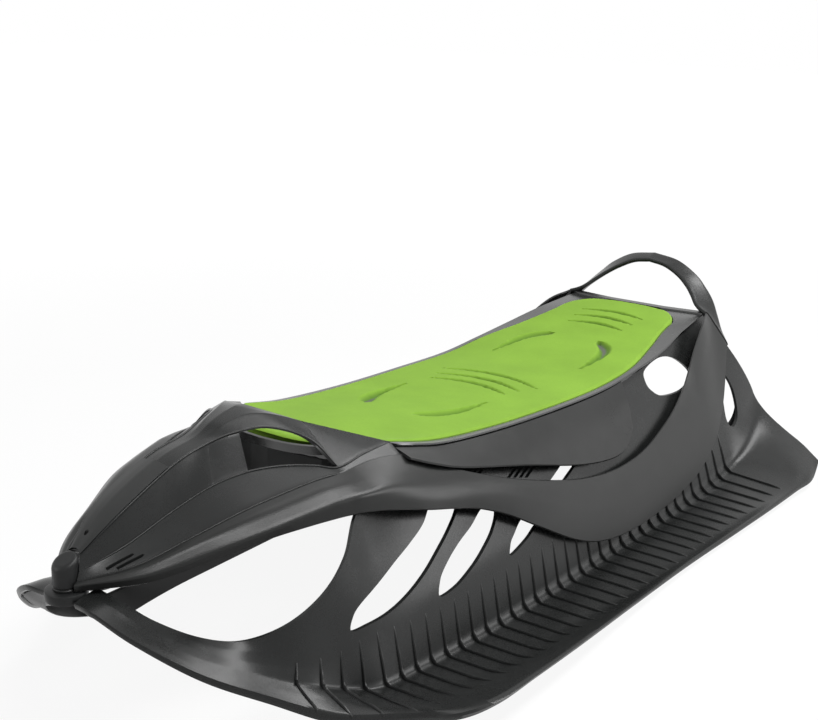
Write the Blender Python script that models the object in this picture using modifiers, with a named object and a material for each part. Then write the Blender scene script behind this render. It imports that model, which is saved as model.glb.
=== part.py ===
"""Steering sled for one or two riders, lying on the snow on two keels.

A saddle-shaped seat deck with a soft pad stands on two wing mouldings. Each wing has a
ribbed footboard, a side wall cut into struts and a bow band that runs up to the nose.
A nose shell with a spine, two hand-holes and an arched grip closes the front, and a
flat grab hoop closes the rear.

Frame: metres, +Z up, nose towards -Y, left and right alike about X = 0, origin on the
ground at the middle of the length and the width. Lines of the body are drawn by station,
which is the distance in millimetres behind the nose.
"""

from math import cos, pi, sin

import bmesh
import bpy
from mathutils import Matrix, Vector

# Overall size
LENGTH = 1.207
HALF_WIDTH = 0.310
HEIGHT = 0.298

# The size at which the body lines are drawn, in millimetres
DRAWN_LENGTH = 1207.0
DRAWN_HALF_WIDTH = 310.0
DRAWN_HEIGHT = 298.0

# Walls and clearances
WING_WALL = 0.0038
PANEL_WALL = 0.0030
DECK_WALL = 0.0030
COVER_WALL = 0.0016
COVER_LIFT = 0.0026
GAP = 0.0003

SHARP_ANGLE = 0.6
PANEL_BULGE = (0.0015, 0.0, 0.0005)
COVER_WIDTH_SHARE = 0.97

# Keels
KEEL_THICKNESS = 0.0060

# Footboard ribs
RIB_COUNT = 36
RIB_FIRST = 222.0
RIB_LAST = 1082.0
RIB_WIDTH = 0.0050
RIB_PROUD = 0.0028
RIB_TOP_HEIGHT = 0.074
RIB_ABOVE_KNEE = 0.045
RIB_ROOT_SHARE = 0.6
RIB_TOP_SHARE = 0.2
RIB_KNEE_SHARE = 1.3
RIB_FOOT_SHARE = 0.4

# Seat pad
PAD_THICKNESS = 0.010
PAD_CROWN = 0.0025
PAD_EDGE_GAP = 0.0016
PAD_EDGE_DROP = 0.0025
GROOVE_DEPTH = 0.0030
GROOVE_WIDTH = 0.0070
DENT_WIDTH = 0.0150
DENT_DEPTH = 0.0045
CHANNEL_TIP = 0.0006
CHANNEL_FLOOR_SHARE = 0.4
CHANNEL_END_SHARE = 0.2

# Raised lip of the seat deck beside the pad
LIP_GAP = 0.0019
LIP_DROP = 0.0030

# Rear panel
REAR_PANEL_HALF_WIDTH = 95.0
REAR_PANEL_LIP = 0.003
REAR_PANEL_GAP = 0.0005
REAR_PANEL_FOOT = 0.172
REAR_PANEL_ARCH = 0.011
REAR_PANEL_STEPS = 6

# Grab hoop
HOOP_THICKNESS = 0.0070
HOOP_EASE = 0.15
HOOP_EDGE_SHARE = 0.8

# Nose joint
CAP_RADIUS = 0.0138
CAP_STATION = 19.8
CAP_BOTTOM = 0.1748
CAP_TOP_FRONT = 203.0
CAP_TOP_REAR = 216.0
COLLAR_RADIUS = 0.0198
COLLAR_HEIGHT = 0.0080
CAP_BEVEL = 0.0018
COLLAR_BEVEL = 0.0012
ROPE_HOLE_RADIUS = 0.0025
ROPE_HOLE_FORWARD = 0.0020
ROPE_HOLE_FLOOR = 0.0040
BOLT_RADIUS = 0.0030
BOLT_HEAD_RADIUS = 0.0062
BOLT_HEAD_HEIGHT = 0.0040
NUT_RADIUS = 0.0060
NUT_HEIGHT = 0.0050
SHANK_ABOVE_NUT = 0.0090
SOCKET_ABOVE_NUT = 0.0120
CUTTER_REACH = 0.0020
WASHER_RADIUS = 0.0095
WASHER_HEIGHT = 0.0015

# Colours and finish: base colour, roughness, metallic
ANTHRACITE = ((0.045, 0.048, 0.047), 0.38, 0.0)
BLACK = ((0.016, 0.017, 0.018), 0.42, 0.0)
GREEN = ((0.30, 0.52, 0.075), 0.62, 0.0)
STEEL = ((0.58, 0.59, 0.60), 0.30, 1.0)


def clear_scene():
    """Remove every object of the file."""
    for old in list(bpy.data.objects):
        bpy.data.objects.remove(old, do_unlink=True)


def new_collection(name):
    """Return a new collection linked to the scene."""
    collection = bpy.data.collections.new(name)
    bpy.context.scene.collection.children.link(collection)
    return collection


def finish(name, look):
    """Return a Principled material."""
    colour, roughness, metallic = look
    material = bpy.data.materials.new(name)
    material.use_nodes = True
    shader = material.node_tree.nodes["Principled BSDF"]
    shader.inputs["Base Color"].default_value = (*colour, 1.0)
    shader.inputs["Roughness"].default_value = roughness
    shader.inputs["Metallic"].default_value = metallic
    material.diffuse_color = (*colour, 1.0)
    return material


def at(x, station, z):
    """Place a drawn point, in millimetres, in the real frame."""
    return Vector((x / DRAWN_HALF_WIDTH * HALF_WIDTH,
                   (station / DRAWN_LENGTH - 0.5) * LENGTH,
                   z / DRAWN_HEIGHT * HEIGHT))


def spline(points, steps):
    """Return a smooth line through drawn points, with steps pieces between two of them."""
    places = [at(*point) for point in points]
    ends = [places[0] * 2 - places[1]] + places + [places[-1] * 2 - places[-2]]
    line = []
    for i in range(1, len(ends) - 2):
        before, start, end, after = ends[i - 1:i + 3]
        for j in range(steps):
            t = j / steps
            line.append(0.5 * (2 * start + (end - before) * t
                               + (2 * before - 5 * start + 4 * end - after) * t ** 2
                               + (3 * start - before - 3 * end + after) * t ** 3))
    return line + [places[-1]]


def crossing(rail, y):
    """Return the point where a line passes the place y along the sled."""
    for start, end in zip(rail[:-1], rail[1:]):
        if start.y <= y <= end.y:
            return start.lerp(end, (y - start.y) / (end.y - start.y))
    return rail[-1].copy()


def add_mesh(name, points, faces, look):
    """Make an object from points and faces, with its faces turned outwards."""
    mesh = bpy.data.meshes.new(name)
    mesh.from_pydata(points, [], faces)
    work = bmesh.new()
    work.from_mesh(mesh)
    bmesh.ops.remove_doubles(work, verts=work.verts, dist=0.00005)
    bmesh.ops.recalc_face_normals(work, faces=work.faces)
    if all(edge.is_manifold for edge in work.edges) and work.calc_volume(signed=True) < 0:
        bmesh.ops.reverse_faces(work, faces=work.faces)
    work.to_mesh(mesh)
    work.free()
    mesh.materials.append(look)
    piece = bpy.data.objects.new(name, mesh)
    SLED.objects.link(piece)
    mesh.shade_smooth()
    mesh.set_sharp_from_angle(angle=SHARP_ANGLE)
    return piece


def sheet(name, rails, look, wall, skip=(), outward=(1, 0, 0.4)):
    """Loft an open surface over lines of equal counts and give it a wall inwards.

    rails run side by side, skip names (rail, first row, last row) bands left open, and
    outward is the rough direction that the outer side faces.
    """
    count = len(rails[0])
    points = [point for rail in rails for point in rail]
    faces = []
    for r in range(len(rails) - 1):
        for k in range(count - 1):
            if any(r == band and first <= k < last for band, first, last in skip):
                continue
            a = r * count + k
            faces.append((a, a + 1, a + count + 1, a + count))
    piece = add_mesh(name, points, faces, look)
    work = bmesh.new()
    work.from_mesh(piece.data)
    loose = [v for v in work.verts if not v.link_faces]
    bmesh.ops.delete(work, geom=loose, context="VERTS")
    total = Vector()
    for face in work.faces:
        total += face.normal * face.calc_area()
    if total.dot(Vector(outward)) < 0:
        bmesh.ops.reverse_faces(work, faces=work.faces)
    work.to_mesh(piece.data)
    work.free()
    shell = piece.modifiers.new("Wall", "SOLIDIFY")
    shell.thickness = wall
    shell.offset = -1.0
    shell.use_even_offset = True
    shell.thickness_clamp = 1.0
    return piece


def side_cutter(name, outline, low=0.05, high=0.40):
    """Make a prism across the sled from an outline of (station, height) points."""
    ends = [[at(0, station, z) + Vector((x, 0, 0)) for station, z in outline]
            for x in (low, high)]
    count = len(outline)
    faces = [tuple(range(count)), tuple(range(2 * count - 1, count - 1, -1))]
    faces += [(i, (i + 1) % count, (i + 1) % count + count, i + count) for i in range(count)]
    cutter = add_mesh(name, ends[0] + ends[1], faces, BODY_LOOK)
    as_cutter(cutter)
    return cutter


def as_cutter(piece):
    """Move a piece to the collection of cutters and guides."""
    SLED.objects.unlink(piece)
    CUTTERS.objects.link(piece)
    piece.hide_render = True
    piece.display_type = "WIRE"


def cut(piece, cutter, operation="DIFFERENCE"):
    """Cut one object with another, which stays as a guide."""
    step = piece.modifiers.new(cutter.name, "BOOLEAN")
    step.operation = operation
    step.object = cutter
    step.solver = "EXACT"


def rounded(outline, steps):
    """Return a closed smooth outline of (station, height) points."""
    line = []
    count = len(outline)
    for i in range(count):
        before, start, end, after = (Vector(outline[(i + k - 1) % count]) for k in range(4))
        for j in range(steps):
            t = j / steps
            line.append(0.5 * (2 * start + (end - before) * t
                               + (2 * before - 5 * start + 4 * end - after) * t ** 2
                               + (3 * start - before - 3 * end + after) * t ** 3))
    return [tuple(point) for point in line]


def turned(name, profile, place, look, segments=24):
    """Make a turned piece from (radius, height) points, top to bottom."""
    mesh = bpy.data.meshes.new(name)
    mesh.from_pydata([(r, 0, z) for r, z in profile], [(i, i + 1) for i in range(len(profile) - 1)], [])
    mesh.materials.append(look)
    piece = bpy.data.objects.new(name, mesh)
    SLED.objects.link(piece)
    piece.location = place
    screw = piece.modifiers.new("Turn", "SCREW")
    screw.steps = segments
    screw.render_steps = segments
    screw.use_merge_vertices = True
    screw.merge_threshold = 0.00001
    return piece


def mirrored(piece, name):
    """Make the left-hand copy of a right-hand piece."""
    graph = bpy.context.evaluated_depsgraph_get()
    mesh = bpy.data.meshes.new_from_object(piece.evaluated_get(graph), depsgraph=graph)
    mesh.transform(Matrix.Diagonal((-1, 1, 1, 1)) @ piece.matrix_world)
    mesh.flip_normals()
    mesh.name = name
    copy = bpy.data.objects.new(name, mesh)
    SLED.objects.link(copy)
    return copy


# Body lines, as (half width, station, height) points in drawn millimetres

WING_TOP = [(20.4, 38, 174), (45, 46, 164), (64, 65, 144), (90, 94, 124), (119, 122, 117),
            (143, 157, 126), (150, 202, 142), (145, 243, 166), (127, 285, 198), (112, 352, 205),
            (114, 450, 204.5), (116, 600, 195), (118, 750, 187), (119, 900, 189.2), (117, 1000, 201),
            (111, 1080, 211), (102, 1140, 217), (97, 1178, 218)]
WING_HIGH = [(20.4, 32, 173), (45.5, 38, 165), (67, 57, 145), (95, 89, 121.5), (126, 120, 110),
             (150, 157, 108), (158, 202, 114), (158, 242, 126), (150, 288, 141), (147, 352, 141),
             (148, 450, 139), (149, 600, 137), (150, 750, 135), (150, 900, 136), (150, 1000, 139),
             (149, 1080, 146), (147, 1137, 158), (141, 1183, 176)]
WING_LOW = [(20.4, 26, 172), (46, 31, 166), (70, 49, 145.5), (101, 84, 118), (133, 118, 102),
            (158, 160, 88), (168, 208, 80), (172, 247, 80), (172, 294, 84), (171, 355, 88),
            (171, 450, 88), (171, 600, 88), (171, 750, 88), (172, 900, 88), (173, 1000, 92),
            (174, 1080, 98), (174, 1137, 112), (172, 1202, 124)]
WING_CORNER = [(20.4, 20, 171), (46, 24, 166.5), (73, 41, 145.5), (107, 78, 114.5), (141, 116, 94),
               (168, 163, 70), (179, 215, 45), (189, 252, 36), (190, 300, 30), (191, 360, 24),
               (192, 450, 18), (194, 600, 13.5), (197, 750, 12.5), (201, 900, 12.5), (204, 1000, 16),
               (206, 1080, 28), (206, 1130, 45), (188, 1206, 85)]
TREAD_EDGE = [(20.4, 15, 170), (46, 16, 167), (77, 32, 145.5), (113, 73, 110.5), (150, 114, 86),
              (184, 164, 60), (211, 210, 44), (229, 250, 38), (240, 300, 31), (249, 360, 25),
              (257, 450, 18.5), (266, 600, 13.5), (273, 750, 12), (279, 900, 11.5), (285, 1000, 13),
              (291, 1080, 20), (288, 1130, 30), (245, 1204, 48)]
WING_RIM = [(20.4, 10, 169), (46, 9.5, 167.5), (80, 25, 145.5), (119, 67, 106.5), (159, 112, 78),
            (202, 163, 50), (243, 217, 41), (284, 242, 46), (299, 290, 44), (301, 360, 42),
            (299, 450, 37), (291, 600, 24), (288, 750, 15.5), (296, 900, 14.5), (302, 1000, 15),
            (306, 1080, 16), (310, 1130, 19), (300, 1184, 32)]
WING_SILL = [(20.4, 12, 163.5), (45, 11, 162), (79, 27, 139), (118, 69, 99), (158, 115, 69),
             (201, 166, 39), (241, 222, 29), (280, 247, 35), (296, 291, 37), (299, 360, 36.5),
             (298, 450, 31.5), (290, 600, 18.5), (287, 750, 10), (295, 900, 9), (301, 1000, 9.5),
             (305, 1080, 10.5), (309, 1130, 13), (299, 1182, 26)]
WING_ROWS = 2

KEEL_UPPER = [(27, 17, 160.3), (46, 17.5, 158.3), (79, 33, 136.8), (115, 74, 99.3), (150, 117, 71.3),
              (170, 165, 47.3), (181, 215, 35.3), (189, 252, 29.3), (190, 300, 23.3),
              (191, 360, 18.3), (192, 450, 12.9), (194, 600, 9.3), (197, 750, 8.3), (201, 900, 8.3),
              (202, 1000, 10.8), (202, 1080, 20.3)]
KEEL_LOWER = [(27, 24, 152), (44, 27, 148), (76, 52, 118), (110, 91, 85), (138, 135, 56),
              (161, 187, 29), (177, 238, 4), (186, 290, 0), (190, 340, 0), (191, 400, 0),
              (192, 480, 0), (194, 620, 0), (197, 760, 0), (201, 900, 0), (202, 1000, 0),
              (202, 1080, 0)]

WINDOWS = {
    "window_long": [(416, 168), (446, 157), (360, 118), (280, 91), (232, 89), (244, 110), (336, 140)],
    "window_middle": [(486, 137), (503, 118), (444, 94), (375, 75), (384, 95), (444, 121)],
    "window_short": [(558, 105), (577, 92), (516, 76), (524, 90)],
    "window_round": [(924, 176), (934, 189), (984, 195), (1026, 184), (1046, 163), (1010, 150),
                     (954, 154), (930, 164)],
    "window_slot": [(1128, 156), (1144, 132), (1148, 98), (1136, 71), (1122, 83), (1117, 112),
                    (1119, 141)],
}
WINDOW_ROWS = 3
TAIL_SLOT_SHIFT = 14.0

# Through slots of the recess: station, length and height of the middle
RECESS_SLOTS = [(462, 6, 194), (471, 6, 192), (480, 6, 190), (489, 6, 188),
                (543, 6, 171), (552, 6, 169), (561, 6, 167), (570, 6, 165), (638, 30, 145)]
RECESS_SLOT_HEIGHT = 18.0
RECESS_SLOT_LEAN = 8.0

PANEL_UPPER = [(146, 372.8, 203.4), (152, 450, 188), (159, 520, 166), (165, 600, 140),
               (170, 680, 119), (174, 757, 108), (174, 833, 109), (169, 900, 121), (163, 955, 137),
               (155, 1003, 160), (144, 1050, 193), (131, 1105, 220), (118, 1147, 229)]
PANEL_MIDDLE = [(151.5, 373.5, 189.6), (158, 445, 174), (165, 512, 149), (173, 583, 119),
                (184, 657, 86), (190, 722, 69), (191, 790, 66), (190, 866, 73), (187, 930, 84),
                (180, 995, 104), (171, 1052, 134), (154, 1108, 172), (133, 1158, 208)]
PANEL_LOWER = [(156.4, 374.3, 175.6), (162, 440, 158), (170, 504, 131), (180, 562, 99),
               (192, 631, 62), (199, 690, 42), (203, 762, 33), (204, 840, 33), (203, 910, 38),
               (200, 986, 50), (193, 1060, 77), (179, 1124, 118), (150, 1172, 183)]

SPINE_EDGE = [(13, 36, 217), (17, 74, 240), (17.5, 140, 263.5), (17.5, 187, 270.5)]
SPINE_MIDDLE = [(7, 36, 219), (8.5, 74, 242), (9, 140, 265), (9, 187, 272)]
SPINE_CENTRE = [(0, 36, 220), (0, 74, 243), (0, 140, 266), (0, 187, 273)]
TROUGH_BOTTOM = [(17, 29, 202), (24, 70, 210), (29, 125, 224), (36, 172, 235), (48, 210, 241),
                 (64, 243, 241), (83, 268, 238.5), (101, 285, 236)]
PANEL_CREASE = [(19, 22, 190), (43, 66, 196.5), (63, 119, 209.5), (78, 170, 220.5), (88, 210, 226.5),
                (96, 243, 230.5), (102, 266, 232), (107, 285, 232)]
NOSE_RAIL = [(24, 17, 187.5), (58, 66, 191.5), (85, 119, 198.5), (109, 170, 207.5), (121, 210, 212.5),
             (129, 243, 215), (133.5, 266, 215.5), (137, 285, 215)]
NOSE_HEM = [(23, 18, 181), (56, 67, 184), (83, 120, 190.5), (107, 171, 198), (120, 211, 200.5),
            (128, 244, 200), (133.5, 267, 199), (138, 286, 197)]
GRIP_FRONT = [(17.5, 187, 270.5), (26, 221, 275), (41, 252, 274), (71, 277, 261), (101, 285, 236)]
GRIP_MIDDLE = [(9, 187, 272), (13, 215, 282), (20, 242, 286.5), (34, 264, 283), (52, 288, 273)]
GRIP_CENTRE = [(0, 187, 273), (0, 208, 282), (0, 228, 287.5), (0, 244, 290), (0, 257, 288.5)]
GRIP_WALL_ROWS = 3
SHOULDER = [(101, 285, 236), (104, 322, 241), (105.7, 365, 241.7)]
SHOULDER_CREASE = [(107, 285, 232), (112, 325, 234), (116.8, 367, 232.8)]
SHOULDER_RAIL = [(137, 285, 215), (141, 328, 211), (145, 372, 204)]
SHOULDER_HEM = [(138, 286, 197), (146, 329, 188), (155, 373, 177)]

PAD_EDGE = [(99, 367, 242.5), (107, 450, 224), (115, 570, 211.5), (120, 700, 204), (121, 808, 200.5),
            (120, 895, 205), (106, 980, 212), (93, 1050, 220.5), (88, 1113, 228)]
DECK_RIM = [(108, 375.1, 237), (118, 450, 221), (124, 570, 208.5), (128.5, 700, 201), (129.5, 808, 197.5),
            (129, 895, 202), (126, 980, 209), (118, 1050, 218), (104, 1139, 228)]
SKIRT_EDGE = [(132, 379, 221), (145, 450, 200), (155, 560, 170), (165, 680, 137), (169, 760, 123),
              (168, 800, 126), (162, 829, 142)]
SKIRT_BAND = [(126, 378, 226), (134, 450, 209), (142, 555, 189), (149, 670, 171), (153, 755, 163),
              (153, 805, 164), (149, 838, 173)]
SKIRT_TOP = [(111, 378, 233), (120, 450, 217.5), (125, 552, 206.5), (129, 665, 199),
             (130.5, 752, 194.8), (130.5, 808, 194), (129.8, 850, 195.5)]

PAD_CENTRE = [(0, 292, 248), (0, 420, 229), (0, 560, 212), (0, 700, 204), (0, 808, 200.5),
              (0, 895, 204), (0, 980, 211), (0, 1055, 220.5), (0, 1130, 228)]
PAD_GROOVES = [[(-75, 724), (-38, 740), (0, 746), (38, 740), (75, 724)],
               [(-66, 695), (-33, 710), (0, 716), (33, 710), (66, 695)],
               [(-60, 670), (-30, 683), (0, 688), (30, 683), (60, 670)],
               [(-50, 1068), (-25, 1075), (0, 1078), (25, 1075), (50, 1068)],
               [(-48, 1040), (-24, 1047), (0, 1050), (24, 1047), (48, 1040)],
               [(-44, 1014), (-22, 1020), (0, 1023), (22, 1020), (44, 1014)]]
PAD_DENTS = [[(36, 508), (49, 530), (57, 558), (60, 590), (61, 622)],
             [(70, 846), (69, 880), (66, 915), (56, 940), (38, 958)]]
PAD_ROWS = 3
PAD_SHARES = (0.0, 0.25, 0.5, 0.75, 0.965, 1.0)
DECK_CENTRE_FRONT = (0, 286, 250)
DECK_CENTRE_REAR = (0, 1140, 228)

BULKHEAD = [(0, 292, 232.5), (58, 311, 226), (90, 352, 219)]
BULKHEAD_HEIGHT = 0.036

HOOP_FRONT = [(117, 1150, 232), (106, 1152, 236), (96, 1155, 241), (84, 1165, 251), (70, 1174, 262),
              (50, 1181, 274.5), (25, 1183, 286), (0, 1183.5, 290.5)]
HOOP_REAR = [(150, 1175, 186), (136, 1179, 201), (122, 1188, 220), (107, 1197, 239), (90, 1202, 257),
             (72, 1204, 273.5), (40, 1204.8, 291.2), (0, 1204.8, 298)]

TAIL_UPPER = [(96, 1168, 208), (130, 1169, 171), (162, 1188, 120), (181, 1196, 78), (241, 1194, 39),
              (286, 1168, 20)]
TAIL_LOWER = [(92, 1150, 198), (126, 1138, 150), (156, 1133, 100), (183, 1129, 8.5), (244, 1131, 5),
              (286, 1134, 5)]


def build_wing():
    """Make the right wing: footboard, side wall with windows, bow band and ribs."""
    rails = [spline(points, WING_ROWS) for points in
             (WING_TOP, WING_HIGH, WING_LOW, WING_CORNER, TREAD_EDGE, WING_RIM)]
    rails.append(spline(WING_SILL, WING_ROWS))
    wing = sheet("wing_right", rails, BODY_LOOK, WING_WALL)
    for name, outline in WINDOWS.items():
        cut(wing, side_cutter(name, rounded(outline, WINDOW_ROWS)))
    for i, (station, width, z) in enumerate(RECESS_SLOTS):
        lean = RECESS_SLOT_LEAN
        half = RECESS_SLOT_HEIGHT / 2
        outline = [(station - lean / 2, z - half), (station - lean / 2 + width, z - half),
                   (station + lean / 2 + width, z + half), (station + lean / 2, z + half)]
        cut(wing, side_cutter(f"recess_slot_{i + 1}", outline))
    cut(wing, rib_bank(rails), "UNION")
    return wing


def rib_bank(rails):
    """Make all the L-shaped ribs of one wing as one guide object."""
    low, corner, edge = rails[2], rails[3], rails[4]
    high = rails[1]
    points, faces = [], []
    first, last = at(0, RIB_FIRST, 0).y, at(0, RIB_LAST, 0).y
    for i in range(RIB_COUNT):
        y = first + (last - first) * i / (RIB_COUNT - 1)
        knee, foot = crossing(corner, y), crossing(edge, y)
        shin, thigh = crossing(low, y), crossing(high, y)
        top_height = max(RIB_TOP_HEIGHT, knee.z + RIB_ABOVE_KNEE)
        if top_height <= shin.z:
            top = knee.lerp(shin, (top_height - knee.z) / (shin.z - knee.z))
        else:
            top = shin.lerp(thigh, (top_height - shin.z) / (thigh.z - shin.z))
        out_wall = Vector((shin.z - knee.z, 0, knee.x - shin.x)).normalized()
        out_board = Vector((knee.z - foot.z, 0, foot.x - knee.x)).normalized()
        out_knee = (out_wall + out_board).normalized()
        base = len(points)
        for y_side in (-RIB_WIDTH / 2, RIB_WIDTH / 2):
            shift = Vector((0, y_side, 0))
            for place, out, proud in ((top, out_wall, RIB_TOP_SHARE), (knee, out_knee, RIB_KNEE_SHARE),
                                      (foot, out_board, RIB_FOOT_SHARE)):
                points.append(place + shift - out * RIB_PROUD * RIB_ROOT_SHARE)
                points.append(place + shift + out * RIB_PROUD * proud)
        a, b = base, base + 6
        faces += [(a, a + 1, a + 3, a + 2), (a + 2, a + 3, a + 5, a + 4),
                  (b, b + 2, b + 3, b + 1), (b + 2, b + 4, b + 5, b + 3),
                  (a, b, b + 1, a + 1), (a + 1, b + 1, b + 3, a + 3), (a + 3, b + 3, b + 5, a + 5),
                  (a + 5, b + 5, b + 4, a + 4), (a + 4, b + 4, b + 2, a + 2), (a + 2, b + 2, b, a)]
    ribs = add_mesh("rib_bank", points, faces, BODY_LOOK)
    as_cutter(ribs)
    return ribs


def loft_solid(name, sections, look):
    """Join closed sections of equal counts into one capped solid."""
    count = len(sections[0])
    points = [point for section in sections for point in section]
    faces = [tuple(range(count)), tuple(range(len(points) - 1, len(points) - count - 1, -1))]
    for k in range(len(sections) - 1):
        for i in range(count):
            a, b = k * count + i, k * count + (i + 1) % count
            faces += [(a, b, b + count), (a, b + count, a + count)]
    return add_mesh(name, points, faces, look)


def build_keel():
    """Make the right keel, a blade from the nose collar down the bow and along the sole."""
    upper, lower = spline(KEEL_UPPER, 2), spline(KEEL_LOWER, 2)
    sections = []
    for i, (top, bottom) in enumerate(zip(upper, lower)):
        bottom.z = max(bottom.z, 0.0)
        run = upper[min(i + 1, len(upper) - 1)] - upper[max(i - 1, 0)]
        inward = Vector((-run.y, run.x, 0)).normalized() * KEEL_THICKNESS
        sections.append([top, bottom, bottom + inward, top + inward])
    return loft_solid("keel_right", sections, DARK_LOOK)


def build_tail_skirt():
    """Make the right wall that closes the wing below its upswept rear rim."""
    upper, lower = spline(TAIL_UPPER, 3), spline(TAIL_LOWER, 3)
    middle = [a.lerp(b, 0.5) for a, b in zip(upper, lower)]
    skirt = sheet("tail_skirt_right", [upper, middle, lower], DARK_LOOK, PANEL_WALL, outward=(0, 1, 0))
    slot = [(station + TAIL_SLOT_SHIFT, z) for station, z in WINDOWS["window_slot"]]
    cut(skirt, side_cutter("tail_slot", rounded(slot, WINDOW_ROWS)))
    return skirt


def build_side_panel():
    """Make the right outer panel that sweeps from the nose to the grab hoop."""
    rails = [spline(points, 2) for points in (PANEL_UPPER, PANEL_MIDDLE, PANEL_LOWER)]
    bulge = Vector(PANEL_BULGE)
    fine = [rails[0],
            [a.lerp(b, 0.5) + bulge for a, b in zip(rails[0], rails[1])],
            rails[1],
            [a.lerp(b, 0.5) + bulge for a, b in zip(rails[1], rails[2])],
            rails[2]]
    return sheet("side_panel_right", fine, BODY_LOOK, PANEL_WALL)


def build_seat_skirt():
    """Make the right panel that hangs from the deck rim over the recess."""
    rails = [spline(points, 2) for points in (SKIRT_TOP, SKIRT_BAND, SKIRT_EDGE)]
    return sheet("seat_skirt_right", rails, BODY_LOOK, PANEL_WALL)


def pad_row(centre, edge, share):
    """Return a point across the pad, from its middle line to its edge."""
    bend = abs(share) ** 3
    return Vector((edge.x * share, centre.y + (edge.y - centre.y) * bend,
                   centre.z + (edge.z - centre.z) * share ** 2))


def build_deck():
    """Make the seat deck: a tray for the pad with a raised rim."""
    centre, edge = spline(PAD_CENTRE, PAD_ROWS), spline(PAD_EDGE, PAD_ROWS)
    rim = spline(DECK_RIM, PAD_ROWS)
    drop = Vector((0, 0, PAD_THICKNESS + GAP))
    front, rear = at(*DECK_CENTRE_FRONT), at(*DECK_CENTRE_REAR)
    shares = PAD_SHARES[:-1]
    rails = [[pad_row(c, e, share) - drop for c, e in zip(centre, edge)] for share in shares]
    rails.append([e + Vector((PAD_EDGE_GAP, 0, 0)) - drop for e in edge])
    rails.append([e + Vector((LIP_GAP, 0, -LIP_DROP)) for e in edge])
    rails.append(rim)
    last = len(centre) - 1
    for rail, share in zip(rails, (*shares, 1.0, 1.0, 1.0)):
        rail[last] = rail[last] + Vector((0, rear.y - centre[last].y, 0))
        rail[0] = rail[0] + Vector((0, (front.y - centre[0].y) * (1 - share), 0))
    deck = sheet("seat_deck", rails, BODY_LOOK, DECK_WALL, outward=(0, 0, 1))
    mirror_about_middle(deck, before_wall=True)
    return deck


def mirror_about_middle(piece, before_wall=False):
    """Complete a half piece that is open at X = 0."""
    mirror = piece.modifiers.new("Mirror", "MIRROR")
    mirror.use_clip = True
    mirror.merge_threshold = 0.0001
    if before_wall:
        piece.modifiers.move(len(piece.modifiers) - 1, 0)
    return mirror


def build_pad():
    """Make the seat pad: a soft slab with a crown, rounded edges, grooves and dents."""
    centre, edge = spline(PAD_CENTRE, PAD_ROWS), spline(PAD_EDGE, PAD_ROWS)
    shares = [-share for share in PAD_SHARES[:0:-1]] + list(PAD_SHARES)
    sections = []
    for k, (c, e) in enumerate(zip(centre, edge)):
        end_drop = PAD_EDGE_DROP if k in (0, len(centre) - 1) else 0.0
        top, bottom = [], []
        for share in shares:
            place = pad_row(c, e, share)
            fall = PAD_EDGE_DROP if abs(share) == 1.0 else end_drop
            lift = PAD_CROWN * (1 - share ** 2) - fall
            top.append(place + Vector((0, 0, lift)))
            bottom.append(place - Vector((0, 0, PAD_THICKNESS)))
        sections.append(top + bottom[::-1])
    pad = grid_solid("seat_pad", sections, PAD_LOOK)
    lines = [("groove", line, GROOVE_WIDTH, GROOVE_DEPTH) for line in PAD_GROOVES]
    for line in PAD_DENTS:
        lines.append(("dent", line, DENT_WIDTH, DENT_DEPTH))
        lines.append(("dent", [(-x, station) for x, station in line], DENT_WIDTH, DENT_DEPTH))
    for i, (kind, line, width, depth) in enumerate(lines):
        cut(pad, pad_cutter(f"pad_{kind}_{i + 1}", line, width, depth, centre, edge))
    return pad


def pad_top(x, y, centre, edge):
    """Return the height of the pad's top at a place."""
    middle, side = crossing(centre, y), crossing(edge, y)
    share = min(abs(x) / side.x, 1.0)
    return middle.z + (side.z - middle.z) * share ** 2 + PAD_CROWN * (1 - share ** 2)


def pad_cutter(name, line, width, depth, centre, edge):
    """Make the cutter of one channel, widest in the middle and pointed at both ends."""
    path = spline([(x, station, 0) for x, station in line], 2)
    for place in path:
        place.z = pad_top(place.x, place.y, centre, edge)
    sections = []
    last = len(path) - 1
    for i, place in enumerate(path):
        along = path[min(i + 1, last)] - path[max(i - 1, 0)]
        side = Vector((along.y, -along.x, 0)).normalized()
        half = side * max(width / 2 * sin(pi * i / last), CHANNEL_TIP)
        floor = half * CHANNEL_FLOOR_SHARE
        low = Vector((0, 0, -depth * max(sin(pi * i / last), CHANNEL_END_SHARE)))
        high = Vector((0, 0, depth))
        sections.append([place + half + high, place + floor + low, place - floor + low,
                         place - half + high])
    cutter = loft_solid(name, sections, PAD_LOOK)
    as_cutter(cutter)
    return cutter


def grid_solid(name, sections, look):
    """Join flat closed sections into a solid whose two end caps are strips of quads."""
    count = len(sections[0])
    points = [point for section in sections for point in section]
    faces = []
    for k in range(len(sections) - 1):
        for i in range(count):
            a, b = k * count + i, k * count + (i + 1) % count
            faces.append((a, b, b + count, a + count))
    for start in (0, len(points) - count):
        for i in range(count // 2 - 1):
            faces.append((start + i, start + i + 1, start + count - 2 - i, start + count - 1 - i))
    return add_mesh(name, points, faces, look)


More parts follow.
